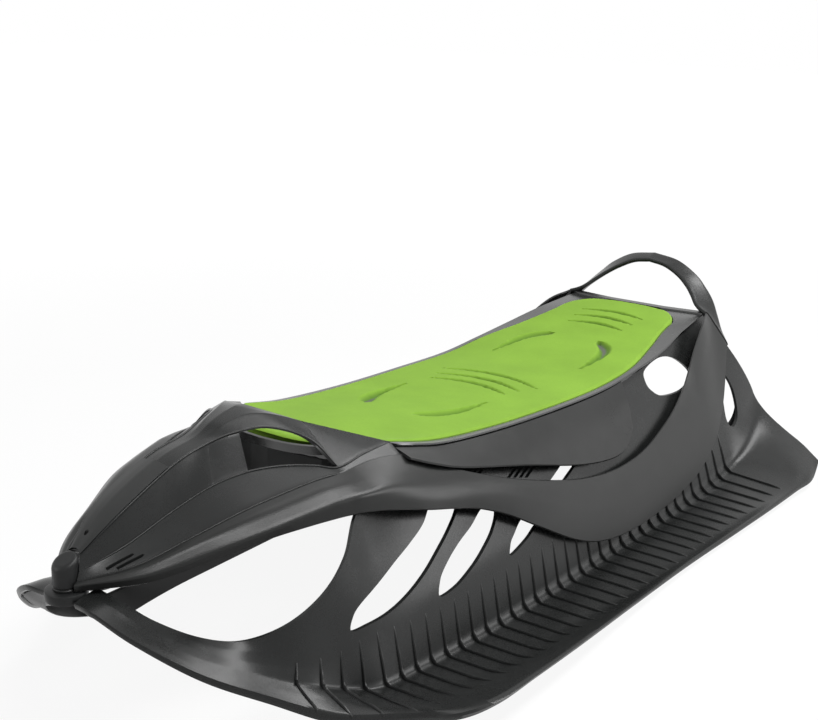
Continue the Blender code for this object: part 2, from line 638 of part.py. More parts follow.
def build_nose_shell():
    """Make the nose shell: spine walls, nose faces, shoulders and the arched grip."""
    front = spline(SPINE_EDGE, 2)
    trough = spline(TROUGH_BOTTOM, 2)
    crease, rail, hem = (spline(points, 2) for points in (PANEL_CREASE, NOSE_RAIL, NOSE_HEM))
    shoulder = [spline(points, 3)[1:] for points in (SHOULDER, SHOULDER_CREASE, SHOULDER_RAIL, SHOULDER_HEM)]
    faces, points = [], []

    def band(one, two):
        """Add the faces between two lines of equal counts."""
        base = len(points)
        points.extend(one)
        points.extend(two)
        n = len(one)
        faces.extend((base + k, base + k + 1, base + n + k + 1, base + n + k) for k in range(n - 1))

    inner = trough + shoulder[0]
    middle, centre = spline(SPINE_MIDDLE, 2), spline(SPINE_CENTRE, 2)
    band(centre, middle)
    band(middle, front)
    band(front, trough[:len(front)])
    band(inner, crease + shoulder[1])
    band(crease + shoulder[1], rail + shoulder[2])
    band(rail + shoulder[2], hem + shoulder[3])
    grip = [spline(line, 2) for line in (GRIP_CENTRE, GRIP_MIDDLE, GRIP_FRONT)]
    band(grip[0], grip[1])
    band(grip[1], grip[2])
    band(grip[2][:GRIP_WALL_ROWS], trough[len(front) - 1:][:GRIP_WALL_ROWS])
    ends = [grip[2][-1]] + shoulder[0]
    base = len(points)
    points.extend([grip[1][-1]] + ends)
    faces.extend((base, base + k, base + k + 1) for k in range(1, len(ends)))
    shell = add_mesh("nose_shell", points, faces, BODY_LOOK)
    wall = shell.modifiers.new("Wall", "SOLIDIFY")
    wall.thickness = PANEL_WALL
    wall.offset = -1.0
    wall.use_even_offset = True
    mirror_about_middle(shell, before_wall=True)
    return shell


def build_spine_cover():
    """Make the strip that lies on the spine between the nose cap and the grip."""
    rise = Vector((0, 0, COVER_LIFT))
    rails = [[Vector((p.x * COVER_WIDTH_SHARE, p.y, p.z)) + rise for p in spline(line, 2)[:-2]]
             for line in (SPINE_CENTRE, SPINE_MIDDLE, SPINE_EDGE)]
    cover = sheet("spine_cover", rails, BODY_LOOK, COVER_WALL, outward=(0, 0, 1))
    mirror_about_middle(cover, before_wall=True)
    return cover


def build_nose_joint():
    """Make the nose cap, the collar under it and the bolt that clamps them."""
    centre = at(0, CAP_STATION, 0)
    top_front, top_rear = at(0, 0, CAP_TOP_FRONT).z, at(0, 0, CAP_TOP_REAR).z
    bpy.ops.mesh.primitive_cylinder_add(vertices=32, radius=CAP_RADIUS, depth=top_rear - CAP_BOTTOM,
                                        location=(0, centre.y, (top_rear + CAP_BOTTOM) / 2))
    cap = adopt("nose_cap", DARK_LOOK)
    slope = (top_rear - top_front) / (2 * CAP_RADIUS)
    for v in cap.data.vertices:
        if v.co.z > 0:
            v.co.z += slope * (v.co.y - CAP_RADIUS)
    bevel = cap.modifiers.new("Rounded", "BEVEL")
    bevel.width = CAP_BEVEL
    bevel.segments = 2
    collar_top = CAP_BOTTOM - GAP
    hole = BOLT_RADIUS + GAP
    profile = [(hole, 0), (COLLAR_RADIUS - COLLAR_BEVEL, 0), (COLLAR_RADIUS, -COLLAR_BEVEL),
               (COLLAR_RADIUS, -COLLAR_HEIGHT + COLLAR_BEVEL),
               (COLLAR_RADIUS - COLLAR_BEVEL, -COLLAR_HEIGHT), (hole, -COLLAR_HEIGHT), (hole, 0)]
    turned("nose_collar", profile, (0, centre.y, collar_top), DARK_LOOK, 32)
    nut_top = CAP_BOTTOM + NUT_HEIGHT
    socket_top = nut_top + SOCKET_ABOVE_NUT
    cut(cap, round_cutter("bolt_socket", hole, CAP_BOTTOM - CUTTER_REACH, socket_top, centre.y))
    cut(cap, round_cutter("nut_socket", NUT_RADIUS + GAP, CAP_BOTTOM - CUTTER_REACH, nut_top + GAP, centre.y))
    cut(cap, round_cutter("rope_hole", ROPE_HOLE_RADIUS, socket_top + ROPE_HOLE_FLOOR,
                          top_rear + CUTTER_REACH, centre.y - ROPE_HOLE_FORWARD))
    thread = hole / cos(pi / 6)
    nut = [(thread, NUT_HEIGHT), (NUT_RADIUS, NUT_HEIGHT), (NUT_RADIUS, 0), (thread, 0),
           (thread, NUT_HEIGHT)]
    turned("nose_nut", nut, (0, centre.y, CAP_BOTTOM), STEEL_LOOK, 6)
    washer_top = collar_top - COLLAR_HEIGHT - GAP
    washer = [(hole, 0), (WASHER_RADIUS, 0), (WASHER_RADIUS, -WASHER_HEIGHT), (hole, -WASHER_HEIGHT), (hole, 0)]
    turned("nose_washer", washer, (0, centre.y, washer_top), STEEL_LOOK, 24)
    head_top = washer_top - WASHER_HEIGHT - GAP
    shank = nut_top + SHANK_ABOVE_NUT - head_top
    bolt = [(0, shank), (BOLT_RADIUS, shank), (BOLT_RADIUS, 0),
            (BOLT_HEAD_RADIUS, 0), (BOLT_HEAD_RADIUS, -BOLT_HEAD_HEIGHT * 0.5),
            (BOLT_HEAD_RADIUS * 0.7, -BOLT_HEAD_HEIGHT), (0, -BOLT_HEAD_HEIGHT)]
    turned("nose_bolt", bolt, (0, centre.y, head_top), STEEL_LOOK, 16)


def adopt(name, look):
    """Name the newest primitive and move it to the sled's collection."""
    piece = bpy.context.object
    piece.name = name
    piece.data.name = name
    piece.data.materials.append(look)
    for owner in list(piece.users_collection):
        owner.objects.unlink(piece)
    SLED.objects.link(piece)
    return piece


def round_cutter(name, radius, low, high, y):
    """Make an upright round cutter on the middle line."""
    bpy.ops.mesh.primitive_cylinder_add(vertices=16, radius=radius, depth=high - low,
                                        location=(0, y, (low + high) / 2))
    cutter = adopt(name, DARK_LOOK)
    as_cutter(cutter)
    return cutter


def build_bulkhead():
    """Make the upright wall under the front of the seat deck."""
    line = spline(BULKHEAD, 2)
    line = [Vector((-p.x, p.y, p.z)) for p in line[:0:-1]] + line
    thickness = Vector((0, DECK_WALL, 0))
    sections = []
    for top in line:
        foot = top - Vector((0, 0, BULKHEAD_HEIGHT))
        sections.append([top, top + thickness, foot + thickness, foot])
    return loft_solid("front_bulkhead", sections, DARK_LOOK)


def build_rear_panel():
    """Make the upright wall under the rear edge of the deck, with an arched lower edge."""
    top_z = at(*DECK_CENTRE_REAR).z + REAR_PANEL_LIP
    y = at(*DECK_CENTRE_REAR).y + DECK_WALL + REAR_PANEL_GAP
    half = at(REAR_PANEL_HALF_WIDTH, 0, 0).x
    thickness = Vector((0, -DECK_WALL, 0))
    sections = []
    for i in range(-REAR_PANEL_STEPS, REAR_PANEL_STEPS + 1):
        share = i / REAR_PANEL_STEPS
        x = half * share
        foot = REAR_PANEL_FOOT + REAR_PANEL_ARCH * (1 - share ** 2)
        top, bottom = Vector((x, y, top_z)), Vector((x, y, foot))
        sections.append([top, bottom, bottom + thickness, top + thickness])
    return loft_solid("rear_panel", sections, DARK_LOOK)


def build_hoop():
    """Make the flat grab hoop between its front and its rear edge."""
    edges = []
    for half in (HOOP_FRONT, HOOP_REAR):
        right = spline(half, 2)
        edges.append(right + [Vector((-p.x, p.y, p.z)) for p in right[-2::-1]])
    front, rear = edges
    sections = []
    for i, (a, b) in enumerate(zip(front, rear)):
        along = front[min(i + 1, len(front) - 1)] - front[max(i - 1, 0)]
        along += rear[min(i + 1, len(rear) - 1)] - rear[max(i - 1, 0)]
        inward = -(b - a).cross(along).normalized() * HOOP_THICKNESS
        ease = (b - a) * HOOP_EASE
        sections.append([a, a + ease - inward * HOOP_EASE, b - ease - inward * HOOP_EASE, b,
                         b + inward * HOOP_EDGE_SHARE, b - ease + inward, a + ease + inward,
                         a + inward * HOOP_EDGE_SHARE])
    return loft_solid("grab_hoop", sections, BODY_LOOK)


clear_scene()
SLED = new_collection("steering_sled")
CUTTERS = new_collection("cutters")
BODY_LOOK = finish("anthracite_plastic", ANTHRACITE)
DARK_LOOK = finish("black_plastic", BLACK)
PAD_LOOK = finish("green_foam", GREEN)
STEEL_LOOK = finish("steel", STEEL)

mirrored(build_wing(), "wing_left")
mirrored(build_keel(), "keel_left")
mirrored(build_tail_skirt(), "tail_skirt_left")
mirrored(build_side_panel(), "side_panel_left")
mirrored(build_seat_skirt(), "seat_skirt_left")
build_deck()
build_pad()
build_nose_shell()
build_spine_cover()
build_nose_joint()
build_bulkhead()
build_rear_panel()
build_hoop()
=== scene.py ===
"""Looks of the steering sled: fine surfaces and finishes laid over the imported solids.

Lines of the body are drawn as (half width, station, height) in millimetres, where the station
is the distance behind the nose, and every surface is worked out between such lines. Drawn
outlines, stations and rib lines are in millimetres too, and all other lengths are in metres.
"""
import logging
from dataclasses import dataclass, field
from enum import Enum
from typing import Any, Iterable, Sequence

import bmesh
import bpy
import numpy as np
from mathutils import Matrix


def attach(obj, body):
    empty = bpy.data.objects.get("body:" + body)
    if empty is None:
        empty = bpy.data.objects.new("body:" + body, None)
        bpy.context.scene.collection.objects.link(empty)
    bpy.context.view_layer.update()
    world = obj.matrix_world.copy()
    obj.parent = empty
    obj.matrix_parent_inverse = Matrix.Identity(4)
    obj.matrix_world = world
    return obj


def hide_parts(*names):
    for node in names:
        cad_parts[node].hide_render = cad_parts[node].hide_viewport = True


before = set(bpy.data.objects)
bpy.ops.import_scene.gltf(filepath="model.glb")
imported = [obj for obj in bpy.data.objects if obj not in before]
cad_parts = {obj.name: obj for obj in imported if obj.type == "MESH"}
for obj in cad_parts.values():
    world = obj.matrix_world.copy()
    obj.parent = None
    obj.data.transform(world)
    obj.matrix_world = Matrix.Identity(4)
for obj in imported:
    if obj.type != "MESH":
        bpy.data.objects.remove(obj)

Array = np.ndarray
Mesh = tuple[Array, list[list[int]]]
Material, Object = bpy.types.Material, bpy.types.Object
Points = Sequence[tuple[float, float, float]]
Outline = Sequence[tuple[float, float]]
Pattern = tuple[float, ...]

LOG = logging.getLogger("sled")
MILLIMETRE = 0.001
MIDDLE_STATION = 603.5
BODY = "root"
SIDES = (1, -1)
OUTWARD = (1, 0, 0.4)
SHARP_ANGLE = 0.7
WELD = 1e-6
TINY = 1e-12
EDGE_REACH = 0.45
CUT_REACH = (0.05, 0.40)
WHITE = (1.0, 1.0, 1.0, 1.0)
CLOUDS = (0.35, 0.68)
NOISE_MEAN = 0.5
CREASE: Points = (
    (13, 21.5, 184), (43, 66, 192.5), (63, 119, 208), (78, 170, 220.5), (88, 210, 226.5),
    (96, 243, 230.5), (102, 266, 232), (107, 285, 232), (112, 325, 234), (119, 367, 229))


class Slot(Enum):
    """Material slots of the record."""

    ANTHRACITE = "anthracite_plastic"
    BLACK = "black_plastic"
    FOAM = "green_foam"
    STEEL = "steel"


# Lines, grids and meshes


def place(points: Any) -> Array:
    """Turn drawn (half width, station, height) millimetres into metres in the frame."""
    drawn = np.asarray(points, float)
    return (drawn - (0.0, MIDDLE_STATION, 0.0)) * MILLIMETRE


def spread(points: Array, count: int) -> Array:
    """Run a smooth line through points and read it at even steps.

    Between two points the line is the cubic whose slope at each of them is half the step
    from the point before to the point after.

    Args:
        points: The points, one a row.
        count: How many places to read.

    Returns:
        The places, one a row.
    """
    ends = np.vstack([2 * points[0] - points[1], points, 2 * points[-1] - points[-2]])
    t = np.linspace(0, len(points) - 1, count)
    i = np.minimum(t.astype(int), len(points) - 2)
    f = (t - i)[:, None]
    a, b, c, d = (ends[i + k] for k in range(4))
    return 0.5 * (2 * b + (c - a) * f + (2 * a - 5 * b + 4 * c - d) * f ** 2
                  + (3 * b - a - 3 * c + d) * f ** 3)


def rail(points: Points, per: int) -> Array:
    """Read a smooth line through drawn points with `per` steps between two of them."""
    return spread(place(points), (len(points) - 1) * per + 1)


def ring(outline: Outline, per: int) -> Array:
    """Read a closed smooth line, whose last point runs on to its first.

    Args:
        outline: Drawn (station, height) points.
        per: Steps between two of them.

    Returns:
        Drawn (station, height) places, one a row.
    """
    drawn = np.asarray(outline, float)
    wrapped = np.vstack([drawn[-2:], drawn, drawn[:3]])
    whole = spread(wrapped, (len(wrapped) - 1) * per + 1)
    return whole[2 * per:(2 + len(drawn)) * per]


def columns(rails: Sequence[Array], pitch: float, rounding: int = 0) -> Array:
    """Fill in straight columns between neighbouring lines and round the corners at them.

    A corner is rounded by taking the mean of each column and its neighbours.

    Args:
        rails: Lines with equal counts of rows.
        pitch: About how far apart two columns lie, in metres.
        rounding: How many neighbours on either side are averaged.

    Returns:
        A grid of points, rows by columns by 3.
    """
    parts = [rails[0][:, None]]
    for one, two in zip(rails, rails[1:]):
        reach = float(np.linalg.norm(two - one, axis=1).mean())
        t = np.linspace(0, 1, max(1, round(reach / pitch)) + 1)[1:]
        parts.append(one[:, None] + (two - one)[:, None] * t[None, :, None])
    grid = np.concatenate(parts, axis=1)
    if not rounding:
        return grid
    wide = np.pad(grid, ((0, 0), (rounding, rounding), (0, 0)), mode="reflect", reflect_type="odd")
    return np.mean([wide[:, k:k + grid.shape[1]] for k in range(2 * rounding + 1)], axis=0)


def unit(vectors: Array) -> Array:
    """Scale vectors to length one."""
    return vectors / np.maximum(np.linalg.norm(vectors, axis=-1, keepdims=True), TINY)


def normals(grid: Array, outward: Sequence[float]) -> Array:
    """Take the cross product of a grid's two slopes, turned to the rough direction outward."""
    n = unit(np.cross(np.gradient(grid, axis=0), np.gradient(grid, axis=1)))
    return n if float((n * np.asarray(outward)).sum(-1).mean()) > 0 else -n


def turns(count: int) -> Array:
    """Divide a full turn into even angles."""
    return np.linspace(0, 2 * np.pi, count, endpoint=False)


def last_ninth(count: int) -> Array:
    """Stay at 0 along a run of rows and go to 1 over its last ninth."""
    return np.clip(np.linspace(0, 1, count) * 9 - 8, 0, 1)


def grid_faces(rows: int, cols: int, wrap: bool = False) -> Array:
    """Number the quads of a grid of points.

    Args:
        rows: How many rows it has.
        cols: How many columns it has.
        wrap: Whether its last column is joined to the first.

    Returns:
        Point numbers, one quad a row.
    """
    index = np.arange(rows * cols).reshape(rows, cols)
    right = np.roll(index, -1, axis=1) if wrap else index[:, 1:]
    left = index if wrap else index[:, :-1]
    return np.stack([left[:-1], right[:-1], right[1:], left[1:]], axis=-1).reshape(-1, 4)


def loops_mesh(loops: Array) -> Mesh:
    """Join closed loops into a solid with a face at each end.

    Args:
        loops: Loops by points by 3; neighbouring loops are joined with quads.

    Returns:
        Points and faces.
    """
    rows, cols = loops.shape[:2]
    faces = grid_faces(rows, cols, wrap=True).tolist()
    faces.append(list(range(cols)))
    faces.append(list(range(rows * cols - 1, (rows - 1) * cols - 1, -1)))
    return loops.reshape(-1, 3), faces


def ring_mesh(loops: Array) -> Mesh:
    """Join closed loops into a ring, the last loop to the first.

    Args:
        loops: Loops by points by 3.

    Returns:
        Points and faces.
    """
    index = np.arange(loops.shape[0] * loops.shape[1]).reshape(loops.shape[:2])
    down = np.roll(index, -1, 0)
    quads = np.stack([index, np.roll(index, -1, 1), np.roll(down, -1, 1), down], -1)
    return loops.reshape(-1, 3), quads.reshape(-1, 4).tolist()


def merged(meshes: Iterable[Mesh]) -> Mesh:
    """Join meshes into one, with the points of each numbered after those before it.

    Args:
        meshes: Points and faces of each mesh.

    Returns:
        Points and faces of them all.
    """
    points, faces, base = [], [], 0
    for corners, sides in meshes:
        points.append(corners)
        faces += [[base + k for k in side] for side in sides]
        base += len(corners)
    return np.concatenate(points), faces


def walled(grid: Array, wall: float, outward: Sequence[float] = OUTWARD) -> Mesh:
    """Give a grid a wall inwards, with rounded long edges.

    The inner side is the grid moved by the wall against its normals. At each long edge one
    more column stands EDGE_REACH walls further out, halfway between the two sides.

    Args:
        grid: The outer side, rows by columns by 3.
        wall: Thickness in metres.
        outward: The rough direction that the outer side faces.

    Returns:
        Points and faces of the closed wall.
    """
    inner = grid - normals(grid, outward) * wall
    start, end = ((grid[:, k] + inner[:, k]) / 2
                  + unit(grid[:, k] - grid[:, beside]) * wall * EDGE_REACH
                  for k, beside in ((0, 1), (-1, -2)))
    loops = np.concatenate([grid, end[:, None], inner[:, ::-1], start[:, None]], axis=1)
    rows, cols = loops.shape[:2]
    faces = grid_faces(rows, cols, wrap=True).tolist()
    half = grid.shape[1]
    for base in (0, (rows - 1) * cols):
        k = np.arange(half - 1)
        faces += np.stack([base + k, base + k + 1, base + 2 * half - 1 - k, base + 2 * half - k],
                          axis=-1).tolist()
        faces.append([base + half - 1, base + half, base + half + 1])
        faces.append([base, base + cols - 1, base + cols - 2])
    return loops.reshape(-1, 3), faces


def both_sides(grid: Array) -> Array:
    """Complete a half grid, whose first column lies on the middle plane, with its mirror image."""
    return np.concatenate([grid[:, :0:-1] * (-1, 1, 1), grid], axis=1)


def on_middle(outline: Array) -> Array:
    """Place drawn (station, height) points on the middle plane."""
    return place(np.column_stack([np.zeros(len(outline)), outline]))


def prism(outline: Array) -> Mesh:
    """Stretch a closed drawn (station, height) outline across the right half of the sled."""
    return loops_mesh(np.stack([on_middle(outline) + (x, 0, 0) for x in CUT_REACH]))


def add(name: str, data: bpy.types.ID) -> Object:
    """Make an object of its data and link it to the scene.

    Args:
        name: Name of the object.
        data: Its mesh, lamp or camera.

    Returns:
        The object, at the origin.
    """
    obj = bpy.data.objects.new(name, data)
    bpy.context.scene.collection.objects.link(obj)
    return obj


# Shader graphs and finishes


class Value:
    """An output of a shader node that can be used in sums."""

    def __init__(self, graph: "Graph", port: bpy.types.NodeSocket) -> None:
        """Keep the graph and the output."""
        self.graph, self.port = graph, port

    def _math(self, operation: str, first: Any, second: Any, clamp: bool = False) -> "Value":
        """Add a Math node on two values or numbers."""
        return self.graph.node("Math", {0: first, 1: second}, operation=operation, use_clamp=clamp)

    def __add__(self, other: Any) -> "Value":
        """Add."""
        return self._math("ADD", self, other)

    __radd__ = __add__

    def __sub__(self, other: Any) -> "Value":
        """Subtract."""
        return self._math("SUBTRACT", self, other)

    def __rsub__(self, other: Any) -> "Value":
        """Subtract from a number."""
        return self._math("SUBTRACT", other, self)

    def __mul__(self, other: Any) -> "Value":
        """Multiply."""
        return self._math("MULTIPLY", self, other)

    __rmul__ = __mul__

    def above(self, low: float, high: float) -> "Value":
        """Go evenly from 0 at low to 1 at high, and stay at 0 below and at 1 above."""
        return self._math("MULTIPLY", self - low, 1.0 / (high - low), clamp=True)


class Graph:
    """The node graph of a material or of the world."""

    def __init__(self, owner: bpy.types.ID, output: str = "OutputMaterial") -> None:
        """Empty the owner's graph, apart from its output.

        Args:
            owner: A material or the world.
            output: Type of the output node, without ShaderNode in front.
        """
        owner.use_nodes = True
        self.owner, self.tree = owner, owner.node_tree
        self.tree.nodes.clear()
        self.output = self.tree.nodes.new(f"ShaderNode{output}")

    def node(self, kind: str, inputs: dict[Any, Any] | None = None, output: Any = 0,
             **settings: Any) -> Value:
        """Add a node, set its settings and then fill its sockets.

        Args:
            kind: Type of the node, without ShaderNode in front.
            inputs: Values or links of its input sockets, by name or number.
            output: Which output is returned.
            **settings: Properties of the node.

        Returns:
            That output.
        """
        made = self.tree.nodes.new(f"ShaderNode{kind}")
        for key, value in settings.items():
            setattr(made, key, value)
        for key, value in (inputs or {}).items():
            if isinstance(value, Value):
                self.tree.links.new(value.port, made.inputs[key])
            else:
                made.inputs[key].default_value = value
        return Value(self, made.outputs[output])

    def coordinates(self) -> Value:
        """Return the Object coordinates, in metres."""
        return self.node("TexCoord", output="Object")

    def noise(self, scale: float, detail: float = 3.0, roughness: float = 0.55,
              spots: Value | None = None) -> Value:
        """Return a noise of about NOISE_MEAN over the Object coordinates or other spots."""
        return self.node("TexNoise", {"Vector": spots or self.coordinates(), "Scale": scale,
                                      "Detail": detail, "Roughness": roughness})

    def blend(self, share: Any, first: Any, second: Any) -> Value:
        """Mix two colours, through the sockets 6 and 7 and the output 2, which are for colours."""
        return self.node("Mix", {0: share, 6: first, 7: second}, 2, data_type="RGBA")

    def attribute(self, name: str) -> Value:
        """Read a number stored on the piece's points."""
        return self.node("Attribute", output="Fac", attribute_name=name)

    def bump(self, height: Value, distance: float) -> Value:
        """Turn a height into a bump, whose full height is distance in metres."""
        return self.node("Bump", {"Strength": 1.0, "Distance": distance, "Height": height})

    def seen(self) -> Value:
        """Return 1 for rays of the camera, of reflections and through glass, else 0."""
        camera, glossy, through = (self.node("LightPath", output=f"Is {kind} Ray")
                                   for kind in ("Camera", "Glossy", "Transmission"))
        return camera + glossy + through

    def surface(self, shader: Value) -> Any:
        """Join a shader to the output and return the graph's owner."""
        self.tree.links.new(shader.port, self.output.inputs["Surface"])
        return self.owner

    def finish(self, **sockets: Any) -> Material:
        """Fill the sockets of a Principled BSDF and join it to the output."""
        names = {key.replace("_", " "): value for key, value in sockets.items()}
        return self.surface(self.node("BsdfPrincipled", names))


def rgba(colour: Sequence[float], factor: float = 1.0) -> tuple[float, float, float, float]:
    """Return a linear colour with full alpha, scaled by a factor."""
    return (colour[0] * factor, colour[1] * factor, colour[2] * factor, 1.0)


@dataclass(frozen=True)
class Plastic:
    """Moulded plastic: a fine grain, faint flow marks, rubbed patches and scratches.

    A pattern holds the scale, detail and roughness of a noise. Its range is where the
    noise goes from 0 to 1, and its sheen is how much it adds to the roughness.
    """

    name: str
    colour: tuple[float, float, float]
    roughness: float
    grain_size: float = 0.0011
    grain_depth: float = 0.00003
    grain: Pattern = (2.0, 0.6)
    grain_sheen: float = 0.08
    shine: float = 0.25
    ior: float = 1.5
    flow: Pattern = (9.0, 4.0)
    flow_tones: tuple[float, float] = (0.90, 1.12)
    flow_sheen: float = 0.14
    rub: Pattern = (38.0, 5.0, 0.65)
    rub_range: tuple[float, float] = (0.50, 0.72)
    rub_tone: float = 1.7
    rub_share: float = 0.16
    rub_sheen: float = 0.05
    scratch: Pattern = (1.0, 2.0, 0.5)
    scratch_stretch: tuple[float, float, float] = (900.0, 60.0, 300.0)
    scratch_range: tuple[float, float] = (0.62, 0.74)
    scratch_tone: float = 2.2
    scratch_share: float = 0.10
    scratch_depth: float = 0.25
    slot: Slot = Slot.ANTHRACITE

    def make(self) -> Material:
        """Build the material.

        Returns:
            The material.
        """
        g = Graph(bpy.data.materials.new(self.name))
        flow = g.noise(*self.flow)
        rub = g.noise(*self.rub).above(*self.rub_range)
        stretched = g.node("Mapping", {"Vector": g.coordinates(), "Scale": self.scratch_stretch})
        scratch = g.noise(*self.scratch, spots=stretched).above(*self.scratch_range)
        grain = g.noise(1.0 / self.grain_size, *self.grain)
        tone = g.blend(flow.above(*CLOUDS), *(rgba(self.colour, t) for t in self.flow_tones))
        tone = g.blend(rub * self.rub_share, tone, rgba(self.colour, self.rub_tone))
        tone = g.blend(scratch * self.scratch_share, tone, rgba(self.colour, self.scratch_tone))
        rough = (flow - NOISE_MEAN) * self.flow_sheen + rub * self.rub_sheen \
            + grain * self.grain_sheen + (self.roughness - self.grain_sheen * NOISE_MEAN)
        return g.finish(Base_Color=tone, Roughness=rough, IOR=self.ior,
                        Specular_IOR_Level=self.shine,
                        Normal=g.bump(grain + scratch * self.scratch_depth, self.grain_depth))


@dataclass(frozen=True)
class Foam:
    """Closed-cell foam with small cells, clouds, fine speckles, and painted shade in its grooves
    and dents.
    """

    name: str
    colour: tuple[float, float, float]
    # colour of the painted shade in the grooves and dents
    channel: tuple[float, float, float]
    floor: tuple[float, float, float]
    roughness: float = 0.66
    shine: float = 0.15
    ior: float = 1.45
    fuzz: float = 0.04
    fuzz_roughness: float = 0.5
    cell: float = 0.0016
    cell_smoothness: float = 0.6
    cell_sheen: float = 0.06
    cell_share: float = 0.8
    depth: float = 0.00012
    cloud: Pattern = (14.0, 4.0)
    cloud_tones: tuple[float, float] = (0.93, 1.05)
    fine: Pattern = (420.0, 2.0)
    fine_range: tuple[float, float] = (0.45, 0.75)
    fine_tone: float = 0.72
    fine_tone_share: float = 0.18
    fine_sheen: float = 0.10
    fine_share: float = 0.6
    slot: Slot = Slot.FOAM

    def make(self) -> Material:
        """Build the material: its attribute "channel" mixes in painted shade, and "floor" the
        darker grey of the dents' floors.

        Returns:
            The material.
        """
        g = Graph(bpy.data.materials.new(self.name))
        cells = g.node("TexVoronoi", {"Vector": g.coordinates(), "Scale": 1.0 / self.cell,
                                      "Smoothness": self.cell_smoothness},
                       feature="SMOOTH_F1")
        cloud, fine = g.noise(*self.cloud), g.noise(*self.fine)
        tone = g.blend(cloud.above(*CLOUDS), *(rgba(self.colour, t) for t in self.cloud_tones))
        tone = g.blend(fine.above(*self.fine_range) * self.fine_tone_share, tone,
                       rgba(self.colour, self.fine_tone))
        # painted shade: grooves and dents are darkened towards the channel colour
        tone = g.blend(g.attribute("channel"), tone, rgba(self.channel))
        tone = g.blend(g.attribute("floor"), tone, rgba(self.floor))
        rough = fine * self.fine_sheen + cells * self.cell_sheen + self.roughness
        height = cells * self.cell_share + fine * self.fine_share
        return g.finish(Base_Color=tone, Roughness=rough, IOR=self.ior,
                        Specular_IOR_Level=self.shine, Sheen_Weight=self.fuzz,
                        Sheen_Roughness=self.fuzz_roughness, Normal=g.bump(height, self.depth))


@dataclass(frozen=True)
class ZincedSteel:
    """Zinc-plated steel of the nose bolt."""

    name: str
    colour: tuple[float, float, float]
    roughness: float = 0.32
    depth: float = 0.00002
    spangle: Pattern = (240.0, 3.0)
    spangle_range: tuple[float, float] = (0.4, 0.65)
    spangle_tones: tuple[float, float] = (0.85, 1.05)
    spangle_sheen: float = 0.2
    slot: Slot = Slot.STEEL

    def make(self) -> Material:
        """Build the material.

        Returns:
            The material.
        """
        g = Graph(bpy.data.materials.new(self.name))
        spangle = g.noise(*self.spangle)
        tone = g.blend(spangle.above(*self.spangle_range),
                       *(rgba(self.colour, t) for t in self.spangle_tones))
        rough = spangle * self.spangle_sheen + (self.roughness - self.spangle_sheen * NOISE_MEAN)
        return g.finish(Base_Color=tone, Metallic=1.0, Roughness=rough,
                        Normal=g.bump(spangle, self.depth))


@dataclass(frozen=True)
class PaleFloor:
    """White floor that the camera and reflections see as nearly white, with a soft shadow."""

    name: str
    colour: tuple[float, float, float]
    glow: float = 0.86
    level: float = 1.06
    fade: tuple[float, float] = (1.0, 3.0)

    def make(self) -> Material:
        """Build the material from a diffuse floor and an even glow for seen rays.

        Returns:
            The material.
        """
        g = Graph(bpy.data.materials.new(self.name))
        away = g.node("VectorMath", {0: g.coordinates()}, "Value", operation="LENGTH")
        share = away.above(*self.fade) * (1.0 - self.glow) + self.glow
        matt = g.node("BsdfDiffuse", {"Color": rgba(self.colour)})
        glow = g.node("Emission", {"Color": WHITE, "Strength": self.level})
        return g.surface(g.node("MixShader", {0: g.seen() * share, 1: matt, 2: glow}))


class Look(Enum):
    """The finishes of the sled."""

    SMOOTH = Plastic("anthracite_smooth", (0.0125, 0.0132, 0.0130), 0.27)
    GRAINED = Plastic("anthracite_grained", (0.0135, 0.0140, 0.0136), 0.31, 0.0014, 0.00006)
    # partly painted highlight: the base colour, lighter than the smooth plastic, stands in for the
    # deck's lit top; the lower roughness and higher shine are real gloss
    DECK_PAINTED_HIGHLIGHT = Plastic("anthracite_deck_painted_highlight", (0.0160, 0.0166, 0.0164), 0.24, shine=0.75)
    INNER = Plastic("inner_wall", (0.030, 0.031, 0.0308), 0.45, 0.0013, 0.00005, slot=Slot.BLACK)
    COVER = Plastic("anthracite_cover", (0.024, 0.0248, 0.0245), 0.32)
    DARK = Plastic("black_moulded", (0.010, 0.0104, 0.0106), 0.42, 0.0013, 0.00005,
                   slot=Slot.BLACK)
    # the second colour is the painted shade of the grooves and dents; the third is the grey of the
    # dents' floors
    FOAM = Foam("green_foam", (0.205, 0.372, 0.038), (0.08, 0.17, 0.018), (0.11, 0.12, 0.10))
    STEEL = ZincedSteel("zinced_steel", (0.60, 0.61, 0.62))


# Sub-assemblies


